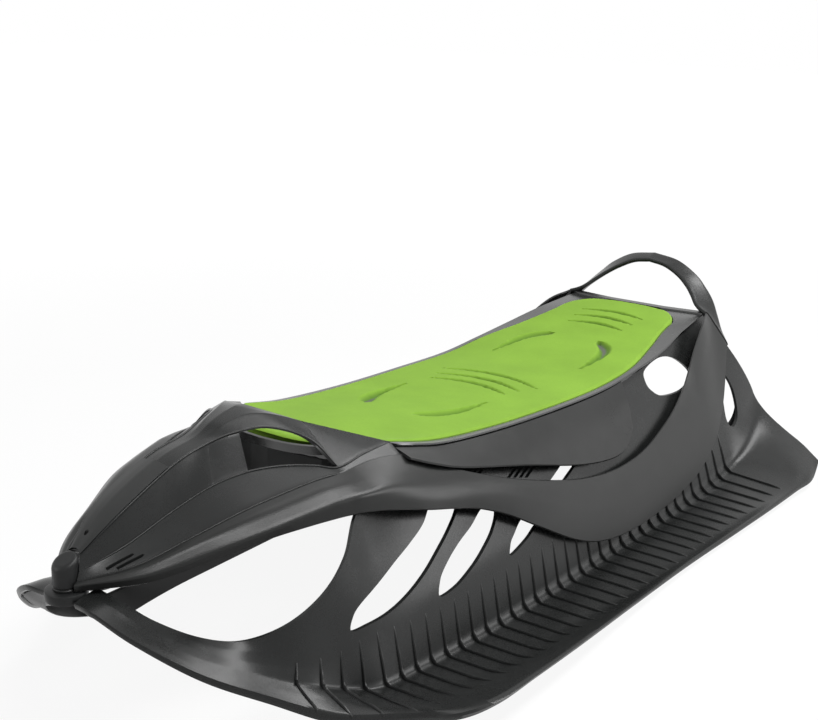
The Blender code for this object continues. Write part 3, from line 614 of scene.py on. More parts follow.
class Workshop:
    """Makes, cuts, fits and reports the pieces of the sled."""

    def __init__(self) -> None:
        """Make every finish once."""
        self.finishes = {look: look.value.make() for look in Look}

    def piece(self, name: str, mesh: Mesh, look: Look) -> Object:
        """Make a piece whose faces point outwards.

        Args:
            name: Name of the piece.
            mesh: Its points and faces.
            look: Its finish.

        Returns:
            The new object, at the origin.
        """
        data = bpy.data.meshes.new(name)
        data.from_pydata(mesh[0].tolist(), [], mesh[1])
        data.materials.append(self.finishes[look])
        obj = add(name, data)
        self.face_out(obj)
        return obj

    def face_out(self, obj: Object, weld: float = WELD) -> None:
        """Merge doubles, turn the faces of a closed mesh outwards and smooth its shading.

        Args:
            obj: The piece.
            weld: How near two points lie that become one.
        """
        work = bmesh.new()
        work.from_mesh(obj.data)
        bmesh.ops.remove_doubles(work, verts=work.verts, dist=weld)
        bmesh.ops.dissolve_degenerate(work, dist=weld, edges=work.edges)
        bmesh.ops.recalc_face_normals(work, faces=work.faces)
        if all(edge.is_manifold for edge in work.edges) and work.calc_volume(signed=True) < 0:
            bmesh.ops.reverse_faces(work, faces=work.faces)
        work.to_mesh(obj.data)
        work.free()
        self.smooth(obj)

    def smooth(self, obj: Object) -> None:
        """Shade smooth, apart from edges sharper than SHARP_ANGLE."""
        obj.data.shade_smooth()
        obj.data.set_sharp_from_angle(angle=SHARP_ANGLE)

    def settle(self, obj: Object) -> None:
        """Turn an object and its modifiers into a plain mesh.

        Args:
            obj: The piece, which keeps its name.
        """
        graph = bpy.context.evaluated_depsgraph_get()
        mesh = bpy.data.meshes.new_from_object(obj.evaluated_get(graph), depsgraph=graph)
        obj.modifiers.clear()
        obj.data = mesh
        mesh.name = obj.name
        self.smooth(obj)

    def carve(self, obj: Object, look: Look, solids: Iterable[Mesh]) -> None:
        """Cut closed solids out of a piece.

        Args:
            obj: The piece.
            look: Its finish, which the cut faces get too.
            solids: Points and faces of each solid.
        """
        cutter = self.piece("cutter", merged(solids), look)
        step = obj.modifiers.new("Cut", "BOOLEAN")
        step.operation, step.solver, step.object = "DIFFERENCE", "EXACT", cutter
        self.settle(obj)
        bpy.data.objects.remove(cutter, do_unlink=True)

    def twin(self, obj: Object, name: str) -> Object:
        """Make the left-hand copy of a finished right-hand piece.

        Args:
            obj: The right-hand piece.
            name: Name of the copy.

        Returns:
            The copy, with its faces outwards.
        """
        mesh = obj.data.copy()
        mesh.name = name
        mesh.transform(Matrix.Diagonal((-1, 1, 1, 1)))
        mesh.flip_normals()
        other = add(name, mesh)
        self.smooth(other)
        return other

    def fit(self, obj: Object, look: Look, node: str | None) -> None:
        """Let a piece ride on the sled and stand for the CAD node that it replaces.

        Args:
            obj: The piece.
            look: Its finish; not used.
            node: The node, or None for a piece that only adds to others.
        """
        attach(obj, BODY)
        if node:
            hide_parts(node)
        LOG.info("%s: %d faces", obj.name, len(obj.data.polygons))

    def dress_nodes(self) -> None:
        """Give the CAD nodes that stay in sight their finish."""
        looks = {"front_bulkhead": Look.INNER, "nose_nut": Look.STEEL,
                 "nose_washer": Look.STEEL, "nose_bolt": Look.STEEL}
        for name, look in looks.items():
            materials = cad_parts[name].data.materials
            materials.clear()
            materials.append(self.finishes[look])

    def dress(self, stem: str, mesh: Mesh, look: Look, cuts: Sequence[Mesh] = (),
              replaces: bool = True, paired: bool = False) -> None:
        """Make, cut and fit a piece, and its left-hand twin where it is one of a pair.

        Args:
            stem: Start of its name, and of the name of the CAD node that it replaces.
            mesh: Its points and faces, on the right where it is one of a pair.
            look: Its finish.
            cuts: Solids that are cut out of it.
            replaces: Whether it stands for a node.
            paired: Whether it is one of a pair.
        """
        obj = self.piece(f"{stem}_dressed_right" if paired else f"{stem}_dressed", mesh, look)
        if cuts:
            self.carve(obj, look, cuts)
        made = [(obj, f"{stem}_right" if paired else stem)]
        if paired:
            made.append((self.twin(obj, f"{stem}_dressed_left"), f"{stem}_left"))
        for item, node in made:
            self.fit(item, look, node if replaces else None)


@dataclass
class Assembly:
    """A sub-assembly, with the workshop that makes its pieces."""

    shop: Workshop


@dataclass
class Wing(Assembly):
    """Side moulding: footboard, side wall with windows, bow band and ribs.

    The scale of the lips' profile holds one thousandth too many, so they come out a few
    thousandths of a millimetre thick and don't show. They are kept at that.
    """

    wall: float = 0.0038
    pitch: float = 0.0045
    rounding: int = 1
    tail_rounding: int = 5
    per: int = 14
    window_per: int = 10
    rib_count: int = 36
    rib_first: float = 148.0
    rib_last: float = 1058.0
    rib_width: float = 0.0034
    rib_proud: float = 0.0028
    rib_lean: float = 9.0
    rib_tops: Outline = (
        (140, 110), (182, 101), (209, 95), (262, 85), (316, 78), (395, 74), (520, 71.5),
        (700, 70), (1060, 76))
    rib_ends: Outline = (
        (148, 198), (171, 217), (200, 232), (229, 250), (253, 262), (280, 266), (384, 271),
        (600, 272), (900, 280), (1060, 291))
    rib_steps: int = 34
    rib_pitch: float = 0.002
    rib_climb: int = 14
    rib_margin: float = 1.001
    rib_sink: float = 0.0003
    rib_swell: tuple[float, float] = (0.8, 0.05)
    rib_start: tuple[float, float] = (0.25, 0.7)
    rib_finish: tuple[float, float] = (0.14, 0.6)
    rib_arc: tuple[float, float] = (-0.18, 1.18)
    rib_points: int = 8
    rib_foot: float = -0.6
    knee_line: int = 3
    lip_per: int = 6
    lip_nearest: int = 4
    lip_least_gap: float = 1e-9
    lip_scale: tuple[float, float] = (0.0024 / 2.4, 0.0040 / 9.0)
    lip_profile: Outline = ((-0.4, -0.4), (-0.1, 0.5), (0.8, 0.9), (2.4, 0.7), (3.4, -0.6),
                            (3.2, -4.0), (2.2, -9.0), (-0.4, -9.0))
    upright: tuple[float, float] = (0.182, 0.05)
    slot_rise: tuple[float, float] = (22.0, 6.0)
    slot_fall: float = -0.29
    slot_spare: float = 0.35
    lines: tuple[Points, ...] = (
        ((20.4, 38, 174), (45, 46, 164), (64, 65, 144), (90, 94, 124), (119, 122, 117),
         (143, 157, 126), (150, 202, 142), (145, 243, 166), (127, 285, 198), (112, 352, 205),
         (114, 450, 204.5), (116, 600, 195), (118, 750, 187), (119, 900, 189.2), (117, 1000, 201),
         (111, 1080, 211), (102, 1140, 217), (97, 1178, 218)),
        ((20.4, 32, 173), (45.5, 38, 165), (67, 57, 145), (95, 89, 121.5), (126, 120, 110),
         (150, 157, 108), (158, 202, 114), (158, 242, 126), (150, 288, 141), (147, 352, 141),
         (148, 450, 139), (149, 600, 137), (150, 750, 135), (150, 900, 136), (150, 1000, 139),
         (149, 1080, 146), (147, 1137, 158), (141, 1183, 176)),
        ((20.4, 26, 172), (46, 31, 166), (70, 49, 145.5), (101, 84, 118), (133, 118, 102),
         (158, 160, 88), (168, 208, 80), (172, 247, 80), (172, 294, 84), (171, 355, 88),
         (171, 450, 88), (171, 600, 88), (171, 750, 88), (172, 900, 88), (173, 1000, 92),
         (174, 1080, 98), (174, 1137, 112), (172, 1202, 124)),
        ((20.4, 20, 171), (46, 24, 166.5), (73, 41, 145.5), (107, 78, 114.5), (141, 116, 94),
         (168, 163, 70), (179, 215, 45), (189, 252, 36), (190, 300, 30), (191, 360, 24),
         (192, 450, 18), (194, 600, 13.5), (197, 750, 12.5), (201, 900, 12.5), (204, 1000, 16),
         (206, 1080, 28), (206, 1130, 45), (188, 1206, 85)),
        ((20.4, 15, 170), (46, 16, 167), (77, 32, 145.5), (113, 73, 110.5), (150, 114, 86),
         (184, 164, 60), (211, 210, 44), (229, 250, 38), (240, 300, 31), (249, 360, 25),
         (257, 450, 18.5), (266, 600, 13.5), (273, 750, 12), (279, 900, 11.5), (285, 1000, 13),
         (291, 1080, 20), (288, 1130, 30), (245, 1204, 48)),
        ((20.4, 10, 169), (46, 9.5, 167.5), (80, 25, 145.5), (119, 67, 106.5), (159, 112, 78),
         (202, 163, 50), (243, 217, 41), (284, 242, 46), (299, 290, 44), (301, 360, 42),
         (299, 450, 37), (291, 600, 24), (288, 750, 15.5), (296, 900, 14.5), (302, 1000, 15),
         (306, 1080, 16), (310, 1130, 19), (300, 1184, 32)),
        ((20.4, 12, 163.5), (45, 11, 162), (79, 27, 139), (118, 69, 99), (158, 115, 69),
         (201, 166, 39), (241, 222, 29), (280, 247, 35), (296, 291, 37), (299, 360, 36.5),
         (298, 450, 31.5), (290, 600, 18.5), (287, 750, 10), (295, 900, 9), (301, 1000, 9.5),
         (305, 1080, 10.5), (309, 1130, 13), (299, 1182, 26)),
    )
    windows: dict[str, Outline] = field(default_factory=lambda: {
        "long": (
            (412, 170), (448, 160), (441, 149), (420, 137), (394, 125), (358, 110.5),
            (321, 100.5), (285, 95.5), (252, 96), (227, 98.5), (232, 110), (246, 118),
            (280, 126), (314, 135), (348, 143), (380, 153)),
        "middle": ((486, 139), (508, 130), (491, 113), (458, 98), (426, 88), (397, 82), (368, 82.5),
                   (376, 97), (395, 108), (423, 119), (454, 128)),
        "short": ((552, 108), (577, 96), (566, 91), (544, 84.5), (509, 79), (513, 90), (524, 97)),
        "round": ((929, 176), (939, 189), (988, 196), (1030, 185), (1055, 160), (1016, 147),
                  (959, 151), (935, 163)),
        "slot": ((1136, 150), (1144, 138), (1147, 122), (1140, 98), (1128, 81), (1109, 74),
                 (1102, 87), (1110, 110), (1122, 130)),
    })
    slots: tuple[tuple[float, float, float], ...] = (
        (467, 5.4, 178.8), (477.2, 5.4, 176.3), (487.4, 5.4, 173.9), (497.6, 5.4, 171.4),
        (556, 5.8, 155.6), (566.7, 5.8, 152.7), (577.4, 5.8, 149.8), (588.1, 5.8, 146.9),
        (634, 30, 130),
    )

    def grid(self) -> Array:
        """Work out the outer surface between the drawn lines, with its tail corner rounded.

        Returns:
            Rows by columns by 3.
        """
        rails = [rail(line, self.per) for line in self.lines]
        crisp, soft = (columns(rails, self.pitch, k) for k in (self.rounding, self.tail_rounding))
        share = last_ninth(len(crisp))[:, None, None]
        return crisp * (1 - share) + soft * share

    def cutters(self) -> list[Mesh]:
        """List the prisms of the windows and of the slots in the recess.

        Returns:
            Points and faces of each prism.
        """
        solids = [prism(ring(outline, self.window_per)) for outline in self.windows.values()]
        rise = np.array(self.slot_rise)
        for station, width, height in self.slots:
            foot = np.array([(station, height), (station + width, height + width * self.slot_fall)])
            solids.append(prism(np.vstack([foot - rise * self.slot_spare,
                                           foot[::-1] + rise * (1 + self.slot_spare)])))
        return solids

    def lip(self, outline: Outline, grid: Array) -> Mesh:
        """Run a rounded lip round a window.

        Each loop of the lip is a profile in the plane of the outline's normal and X, set
        at the wall's own x, which is the mean of the nearest points of the wall weighted
        by one over their distance squared.

        Args:
            outline: Drawn (station, height) points of the window.
            grid: The wing's outer surface.

        Returns:
            Points and faces of the closed ring.
        """
        flat = on_middle(ring(outline, self.lip_per))[:, 1:]
        wall = grid.reshape(-1, 3)
        wall = wall[(wall[:, 0] < self.upright[0]) & (wall[:, 2] > self.upright[1])]
        gap = ((flat[:, None] - wall[None, :, 1:]) ** 2).sum(-1)
        near = np.argsort(gap, axis=1)[:, :self.lip_nearest]
        weight = 1.0 / (np.take_along_axis(gap, near, 1) + self.lip_least_gap)
        x = (wall[near, 0] * weight).sum(1) / weight.sum(1)
        tangent = unit(np.roll(flat, -1, 0) - np.roll(flat, 1, 0))
        away = np.column_stack([tangent[:, 1], -tangent[:, 0]])
        away *= np.sign(((flat - flat.mean(0)) * away).sum()) or 1.0
        profile = np.array(self.lip_profile) * self.lip_scale * MILLIMETRE
        loops = np.empty((len(flat), len(profile), 3))
        loops[:, :, 0] = x[:, None] + profile[None, :, 1]
        loops[:, :, 1:] = flat[:, None] + away[:, None] * profile[None, :, :1]
        return ring_mesh(loops)

    def even_rows(self, grid: Array) -> tuple[Array, Array]:
        """Read the surface again at even stations.

        Args:
            grid: The wing's outer surface.

        Returns:
            The stations in the frame, and the surface with one row for each of them.
        """
        stations = grid[..., 1]
        level = np.arange(stations.min(axis=0).max(), stations.max(axis=0).min(), self.rib_pitch)
        lines = [np.stack([np.interp(level, line[:, 1], line[:, k]) for k in range(3)], axis=-1)
                 for line in grid.transpose(1, 0, 2)]
        return level, np.stack(lines, axis=1)

    def ribs(self, grid: Array, knee: int) -> Mesh:
        """Lay rounded ribs on the wall, over the knee and along the footboard.

        A rib runs at one station from the wall to the footboard, and leans rearwards above
        the knee. Its height swells at the knee and runs out to nothing at both ends, and
        across it is round.

        Args:
            grid: The wing's outer surface.
            knee: The column of the corner between wall and footboard.

        Returns:
            Points and faces of all ribs.
        """
        level, even = self.even_rows(grid)
        face = normals(even, OUTWARD)
        stations = np.linspace(self.rib_first, self.rib_last, self.rib_count)
        tops, ends = (np.interp(stations, *np.array(line).T) * MILLIMETRE
                      for line in (self.rib_tops, self.rib_ends))
        rows = (place([(0, s, 0) for s in stations])[:, 1] - level[0]) / self.rib_pitch
        section = even[np.clip(rows.round().astype(int), 0, len(even) - 1)]
        climb = np.arange(knee, knee - self.rib_climb, -1)
        top = np.array([np.interp(z, line[climb, 2], climb) for z, line in zip(tops, section)])
        reach = [np.arange(knee, knee + 1 + int(line[knee:, 0].argmax())) for line in section]
        end = np.array([np.interp(x, line[out, 0], out)
                        for x, line, out in zip(ends, section, reach)])
        share = np.linspace(0, 1, self.rib_steps)
        at_knee = ((knee - top) / (end - top))[:, None]
        c = top[:, None] + (end - top)[:, None] * share
        lean = np.clip(1 - share / at_knee, 0, 1) * self.rib_lean * MILLIMETRE
        r = np.clip(rows[:, None] + lean / self.rib_pitch, 0, len(even) - self.rib_margin)
        i, j = r.astype(int), np.minimum(c.astype(int), even.shape[1] - 2)
        f, h = (r - i)[..., None], (c - j)[..., None]
        skin, facing = ((a[i, j] * (1 - f) + a[i + 1, j] * f) * (1 - h)
                        + (a[i, j + 1] * (1 - f) + a[i + 1, j + 1] * f) * h for a in (even, face))
        gain, spread_out = self.rib_swell
        swell = 1.0 + gain * np.exp(-((share - at_knee) / spread_out) ** 2)
        height = self.rib_proud * swell
        for run, (length, power) in ((share, self.rib_start), (1 - share, self.rib_finish)):
            height = height * np.minimum(run / length, 1.0) ** power
        around = np.linspace(*(np.pi * end for end in self.rib_arc), self.rib_points)
        proud = np.maximum(np.sin(around), self.rib_foot)[None, None, :, None]
        loops = skin[:, :, None] + unit(facing)[:, :, None] * (proud * height[..., None, None]
                                                               - self.rib_sink)
        loops[..., 1] += np.cos(around) * self.rib_width / 2
        return merged(loops_mesh(rib) for rib in loops)

    def build(self) -> None:
        """Make the wing, its lips and its ribs, on both sides."""
        grid = self.grid()
        wing = walled(grid, self.wall)
        self.shop.dress("wing", wing, Look.SMOOTH, self.cutters(), paired=True)
        lips = merged(self.lip(outline, grid) for outline in self.windows.values())
        self.shop.dress("window_lips", lips, Look.SMOOTH, replaces=False, paired=True)
        corner = rail(self.lines[self.knee_line], self.per)
        middle = len(grid) // 2
        knee = int(np.linalg.norm(grid[middle] - corner[middle], axis=1).argmin())
        ribs = self.ribs(grid, knee)
        self.shop.dress("ribs", ribs, Look.SMOOTH, replaces=False, paired=True)


@dataclass
class Keel(Assembly):
    """Blade under the footboard, from the nose collar along the sole."""

    thickness: float = 0.006
    ease: float = 0.0009
    per: int = 14
    steps: int = 5
    upper: Points = (
        (27, 17, 160.3), (46, 17.5, 158.3), (79, 33, 136.8), (115, 74, 99.3), (150, 117, 71.3),
        (170, 165, 47.3), (181, 215, 35.3), (189, 252, 29.3), (190, 300, 23.3), (191, 360, 18.3),
        (192, 450, 12.9), (194, 600, 9.3), (197, 750, 8.3), (201, 900, 8.3), (202, 1000, 10.8),
        (202, 1080, 20.3))
    lower: Points = (
        (27, 24, 152), (44, 27, 148), (76, 52, 118), (110, 91, 85), (138, 135, 56), (161, 187, 29),
        (177, 238, 4), (186, 290, 0), (190, 340, 0), (191, 400, 0), (192, 480, 0), (194, 620, 0),
        (197, 760, 0), (201, 900, 0), (202, 1000, 0), (202, 1080, 0))

    def build(self) -> None:
        """Loft the blade as loops with eased lower corners."""
        top, bottom = rail(self.upper, self.per), rail(self.lower, self.per)
        bottom[:, 2] = np.maximum(bottom[:, 2], 0.0)
        t = np.linspace(0, 1, self.steps)[None, :, None]
        outer = top[:, None] * (1 - t) + (bottom + (0, 0, self.ease))[:, None] * t
        inner = outer[:, ::-1] - (self.thickness, 0, 0)
        sole = np.stack([bottom - (self.ease, 0, 0), bottom - (self.thickness - self.ease, 0, 0)],
                        axis=1)
        mesh = loops_mesh(np.concatenate([outer, sole, inner], axis=1))
        self.shop.dress("keel", mesh, Look.DARK, paired=True)


@dataclass
class TailSkirt(Assembly):
    """Wall that closes the wing below its upswept rear rim, with the slot of the rear strut."""

    slot: Outline
    wall: float = 0.003
    slot_shift: float = 27.0
    slot_growth: float = 1.3
    per: int = 8
    pitch: float = 0.006
    upper: Points = (
        (96, 1168, 208), (130, 1169, 171), (162, 1188, 120), (181, 1196, 78), (241, 1194, 39),
        (286, 1168, 20))
    lower: Points = (
        (92, 1150, 198), (126, 1138, 150), (156, 1133, 100), (183, 1129, 8.5), (244, 1131, 5),
        (286, 1134, 5))

    def build(self) -> None:
        """Make both skirts, with the slot cut through."""
        grid = columns([rail(self.upper, self.per), rail(self.lower, self.per)], self.pitch)
        outline = ring(self.slot, self.per)
        middle = outline.mean(0)
        cut = prism((outline - middle) * self.slot_growth + middle + (self.slot_shift, 0.0))
        mesh = walled(grid, self.wall, (0, 1, 0))
        self.shop.dress("tail_skirt", mesh, Look.DARK, [cut], paired=True)


@dataclass
class Flank(Assembly):
    """Outer panel: from the nose tip over the shoulder, down the side and up to the grab hoop."""

    wall: float = 0.003
    per: int = 12
    pitch: float = 0.0035
    roundings: tuple[int, int] = (1, 5)
    bulge: tuple[float, float, float] = (0.0022, 0.0, 0.0007)
    ridge: tuple[float, float, float] = (0.0016, 0.0, 0.0042)
    crest: tuple[float, float] = (0.56, 0.44)
    side_start: tuple[float, float] = (285, 440)
    ridge_run: tuple[float, ...] = (20, 90, 250, 300)
    upper: Points = CREASE + (
        (133, 408, 211), (147, 455, 191), (159, 520, 166), (165, 600, 140), (170, 680, 119),
        (174, 757, 108), (174, 833, 109), (169, 900, 121), (163, 955, 137), (155, 1003, 160),
        (144, 1050, 193), (131, 1105, 220), (118, 1147, 229))
    middle: Points = (
        (14.5, 16.5, 182), (58, 66, 187), (85, 119, 196.5), (109, 170, 207.5), (121, 210, 212.5),
        (129, 243, 215), (133.5, 266, 215.5), (137, 285, 215), (141, 328, 211), (147, 373, 199),
        (153, 410, 187), (160, 455, 170), (166, 514, 149), (173, 583, 119), (184, 657, 86),
        (190, 722, 69), (191, 790, 66), (190, 866, 73), (187, 930, 84), (180, 993, 104),
        (169, 1046, 134), (151, 1096, 172), (132, 1149, 209))
    lower: Points = (
        (14.5, 17.5, 176), (56, 67, 178.5), (83, 120, 187.5), (107, 171, 198), (120, 211, 200.5),
        (128, 244, 200), (133.5, 267, 199), (138, 286, 197), (146, 329, 188), (155, 373, 176),
        (159.5, 408, 167), (163, 448, 155), (170, 504, 131), (180, 562, 99), (192, 631, 62),
        (199, 690, 42), (203, 762, 33), (204, 840, 33), (203, 908, 38), (200, 978, 50),
        (192, 1044, 77), (175, 1101, 118), (149, 1160, 184))

    def build(self) -> None:
        """Make both flanks.

        Between the drawn lines the nose part has a ridge and the side part a bulge, and
        the corners are rounded little at the nose and much along the side.
        """
        one, two, three = (rail(line, self.per) for line in (self.upper, self.middle, self.lower))
        station = one[:, 1] / MILLIMETRE + MIDDLE_STATION
        side = np.interp(station, self.side_start, [0, 1])[:, None]
        tip = np.interp(station, self.ridge_run, [0, 1, 1, 0])[:, None]
        swell = np.array(self.bulge) * side
        crest = one * self.crest[0] + two * self.crest[1] + np.array(self.ridge) * tip + swell
        lines = [one, crest, two, (two + three) / 2 + swell, three]
        crisp, soft = (columns(lines, self.pitch, k) for k in self.roundings)
        grid = crisp * (1 - side[..., None]) + soft * side[..., None]
        mesh = walled(grid, self.wall)
        self.shop.dress("side_panel", mesh, Look.GRAINED, paired=True)


@dataclass
class SeatSkirt(Assembly):
    """Panel that hangs from the deck rim over the recess."""

    wall: float = 0.003
    per: int = 12
    pitch: float = 0.004
    rounding: int = 3
    top: Points = (
        (110, 369, 235), (114.5, 403, 227), (120, 450, 217.5), (125, 552, 206.5), (129, 665, 199),
        (130.5, 752, 194.8), (130.5, 808, 194), (129.8, 850, 195.5))
    band: Points = (
        (119.5, 369, 232), (127.5, 403, 221.5), (134, 450, 209), (142, 555, 189), (149, 670, 171),
        (153, 755, 163), (153, 805, 164), (149, 838, 173))
    edge: Points = (
        (128.5, 371, 227.5), (139, 403, 214.5), (146, 450, 198.5), (155, 560, 170),
        (165, 680, 137), (169, 760, 123), (168, 800, 126), (162, 829, 142))

    def build(self) -> None:
        """Make both skirts."""
        rails = [rail(line, self.per) for line in (self.top, self.band, self.edge)]
        mesh = walled(columns(rails, self.pitch, self.rounding), self.wall)
        self.shop.dress("seat_skirt", mesh, Look.GRAINED, paired=True)


@dataclass
class Seat(Assembly):
    """Seat deck with its raised rim, and the foam pad that lies in it."""

    pad_thickness: float = 0.010
    crown: float = 0.0025
    edge_gap: float = 0.0016
    edge_drop: float = 0.0025
    lip_gap: float = 0.0019
    lip_drop: float = 0.0030
    deck_wall: float = 0.003
    gap: float = 0.0003
    groove_depth: float = 0.0036
    groove_width: float = 0.0100
    dent_depth: float = 0.0060
    dent_width: float = 0.0190
    dent_skew: float = 0.5
    groove_shade: float = 1.1
    dent_shade: float = 0.9
    corner: float = 0.044
    corner_flare: tuple[float, float, float] = (0.005, 0.0, -0.003)
    front_step: tuple[float, float, float] = (0.0, -0.001, 0.0)
    front_lip: tuple[float, float, float] = (0.0, -0.1, 0.85)
    front_fade: float = 8.0
    rear_step: tuple[float, float, float] = (0.0, 0.0006, 0.0)
    brow: tuple[float, float, float] = (0.0, 0.011, 0.0006)
    brow_lift: float = 0.0022
    deck_per: int = 10
    deck_columns: int = 16
    deck_pitch: float = 0.003
    per: int = 42
    pad_columns: int = 111
    crowding: float = 0.62
    edge_share: float = 0.955
    end_share: float = 0.99
    line_steps: int = 120
    point: tuple[float, float] = (0.13, 0.8)
    steepness: float = 1.9
    floor_width: float = 0.55
    centre: Points = (
        (0, 292, 248), (0, 420, 229), (0, 560, 212), (0, 700, 204), (0, 808, 200.5), (0, 895, 204),
        (0, 980, 211), (0, 1055, 220.5), (0, 1130, 228))
    edge: Points = (
        (99, 367, 242.5), (107, 450, 224), (115, 570, 211.5), (120, 700, 204), (121, 808, 200.5),
        (120, 895, 205), (106, 980, 212), (93, 1050, 220.5), (88, 1113, 228))
    rim: Points = (
        (108, 375.1, 237), (118, 450, 221), (124, 570, 208.5), (128.5, 700, 201),
        (129.5, 808, 197.5), (129, 895, 202), (126, 980, 209), (118, 1050, 218), (104, 1139, 228))
    front: float = 286.0
    rear: float = 1140.0
    grooves: tuple[Outline, ...] = (
        ((-75, 724), (-38, 740), (0, 746), (38, 740), (75, 724)),
        ((-66, 695), (-33, 710), (0, 716), (33, 710), (66, 695)),
        ((-60, 670), (-30, 683), (0, 688), (30, 683), (60, 670)),
        ((-50, 1068), (-25, 1075), (0, 1078), (25, 1075), (50, 1068)),
        ((-48, 1040), (-24, 1047), (0, 1050), (24, 1047), (48, 1040)),
        ((-44, 1014), (-22, 1020), (0, 1023), (22, 1020), (44, 1014)),
    )
    dents: tuple[Outline, ...] = (
        ((36, 508), (49, 530), (57, 558), (60, 590), (61, 622)),
        ((38, 958), (56, 940), (66, 915), (69, 880), (70, 846)),
    )

    def row(self, centre: Array, edge: Array, share: Array) -> Array:
        """Place columns across the pad.

        Across the pad x grows evenly, the height follows the square of the share of the
        half width, and the place along the sled follows its cube.

        Args:
            centre: Middle line.
            edge: Edge line.
            share: Shares of the half width, from -1 to 1.

        Returns:
            Rows by columns by 3.
        """
        s = share[None, :]
        c, e = centre[:, None], edge[:, None]
        return np.stack([e[..., 0] * s, c[..., 1] + (e[..., 1] - c[..., 1]) * np.abs(s) ** 3,
                         c[..., 2] + (e[..., 2] - c[..., 2]) * s ** 2], axis=-1)

    def channel(self, grid: Array, line: Outline, width: float, skew: float = 1.0) -> Array:
        """Tell how deep in a channel each point of the pad lies, from 0 to 1.

        The channel follows a line, is widest at its middle and pointed at both ends, and
        its cross-section falls off as a smooth bell.

        Args:
            grid: The pad's top.
            line: Drawn (x, station) points.
            width: Greatest width in metres.
            skew: Below 1 the widest place moves towards the line's first point.

        Returns:
            Rows by columns.
        """
        path = spread(place([(x, s, 0) for x, s in line]), self.line_steps)[:, :2]
        spots = grid[..., :2].reshape(-1, 2)
        near = (np.abs(spots - path.mean(0)) < np.ptp(path, axis=0) / 2 + width).all(1)
        depth = np.zeros(len(spots))
        gap = np.sqrt(((spots[near][:, None] - path[None]) ** 2).sum(-1))
        run = gap.argmin(1) / (len(path) - 1)
        least, power = self.point
        half = width / 2 * np.maximum(np.sin(np.pi * run ** skew), least) ** power
        inside = np.clip(1.0 - (gap.min(1) / half), 0, 1)
        depth[near] = np.clip(inside * self.steepness, 0, 1)
        return depth.reshape(grid.shape[:2])

    def cornered(self, centre: Array, edge: Array) -> Array:
        """Round the rear corners: near the rear end the edge line follows a quarter circle.

        Args:
            centre: Middle line.
            edge: Edge line.

        Returns:
            The edge line with its rear end turned in.
        """
        into = np.clip(1 - (centre[-1, 1] - centre[:, 1]) / self.corner, 0, 1)
        turned = edge.copy()
        turned[:, 0] -= self.corner * (1 - np.sqrt(1 - into ** 2))
        turned[:, 1] += (centre[:, 1] - edge[:, 1]) * into
        return turned

    def build(self) -> None:
        """Make the deck and the pad."""
        self.build_deck()
        self.build_pad()

    def build_deck(self) -> None:
        """Make the deck as a tray under the pad with a raised rim."""
        centre, edge, rim = (rail(line, self.deck_per)
                             for line in (self.centre, self.edge, self.rim))
        edge = self.cornered(centre, edge)
        rim = rim + last_ninth(len(rim))[:, None] * self.corner_flare
        drop = np.array([0, 0, self.pad_thickness + self.gap])
        across = np.linspace(0, 1, self.deck_columns)
        tray = self.row(centre, edge, across) - drop
        parts = columns([edge + (self.edge_gap, 0, 0) - drop,
                         edge + (self.lip_gap, 0, -self.lip_drop), rim], self.deck_pitch)
        half = np.concatenate([tray, parts], axis=1)
        shares = np.concatenate([across, np.ones(parts.shape[1])])
        half[-1, :, 1] += place((0, self.rear, 0))[1] - centre[-1, 1]
        half[0, :, 1] += (place((0, self.front, 0))[1] - centre[0, 1]) * (1 - shares)
        lip = self.pad_thickness * np.clip((1 - shares) * self.front_fade, 0, 1)[:, None]
        front = half[0] + self.front_step + lip * self.front_lip
        rear = half[-1] + self.rear_step
        rear[:, 2] = np.maximum(rear[:, 2], rim[-1, 2] + self.brow_lift)
        half = np.concatenate([front[None], half, rear[None], (rear + self.brow)[None]])
        mesh = walled(both_sides(half), self.deck_wall, (0, 0, 1))
        # the deck's finish carries a painted highlight in its lighter base colour
        self.shop.dress("seat_deck", mesh, Look.DECK_PAINTED_HIGHLIGHT)

    def build_pad(self) -> None:
        """Make the pad: crowned, with rounded edges, grooves and dents."""
        centre, edge = rail(self.centre, self.per), rail(self.edge, self.per)
        edge = self.cornered(centre, edge)
        turn = np.pi / 2
        share = np.sin(np.linspace(-1, 1, self.pad_columns) * turn * self.crowding) \
            / np.sin(turn * self.crowding)
        grid = self.row(centre, edge, share)
        along = np.abs(np.linspace(0, 1, len(centre)) - 0.5) * 2
        falls = [np.clip((run - start) / (1 - start), 0, 1) ** 2 * self.edge_drop
                 for run, start in ((np.abs(share)[None], self.edge_share),
                                    (along[:, None], self.end_share))]
        top = grid.copy()
        top[..., 2] += self.crown * (1 - share[None] ** 2) - np.maximum(*falls)
        groove, dent, floor = np.zeros((3, *top.shape[:2]))
        for line in self.grooves:
            groove = np.maximum(groove, self.channel(grid, line, self.groove_width))
        for line in self.dents:
            for side in SIDES:
                path = [(x * side, s) for x, s in line]
                dent = np.maximum(dent, self.channel(grid, path, self.dent_width, self.dent_skew))
                floor = np.maximum(floor, self.channel(
                    grid, path[:3], self.dent_width * self.floor_width, self.dent_skew))
        top[..., 2] -= np.maximum(groove * self.groove_depth, dent * self.dent_depth)
        under = grid[:, ::-1] - (0, 0, self.pad_thickness)
        mesh = loops_mesh(np.concatenate([top, under], axis=1))
        pad = self.shop.piece("seat_pad_dressed", mesh, Look.FOAM)
        # painted shade: how far the grooves and dents are darkened in colour, stored as "channel"
        shade = np.maximum(groove * self.groove_shade, dent * self.dent_shade)
        self.mark(pad, "channel", np.clip(shade, 0, 1))
        self.mark(pad, "floor", floor)
        self.shop.fit(pad, Look.FOAM, "seat_pad")

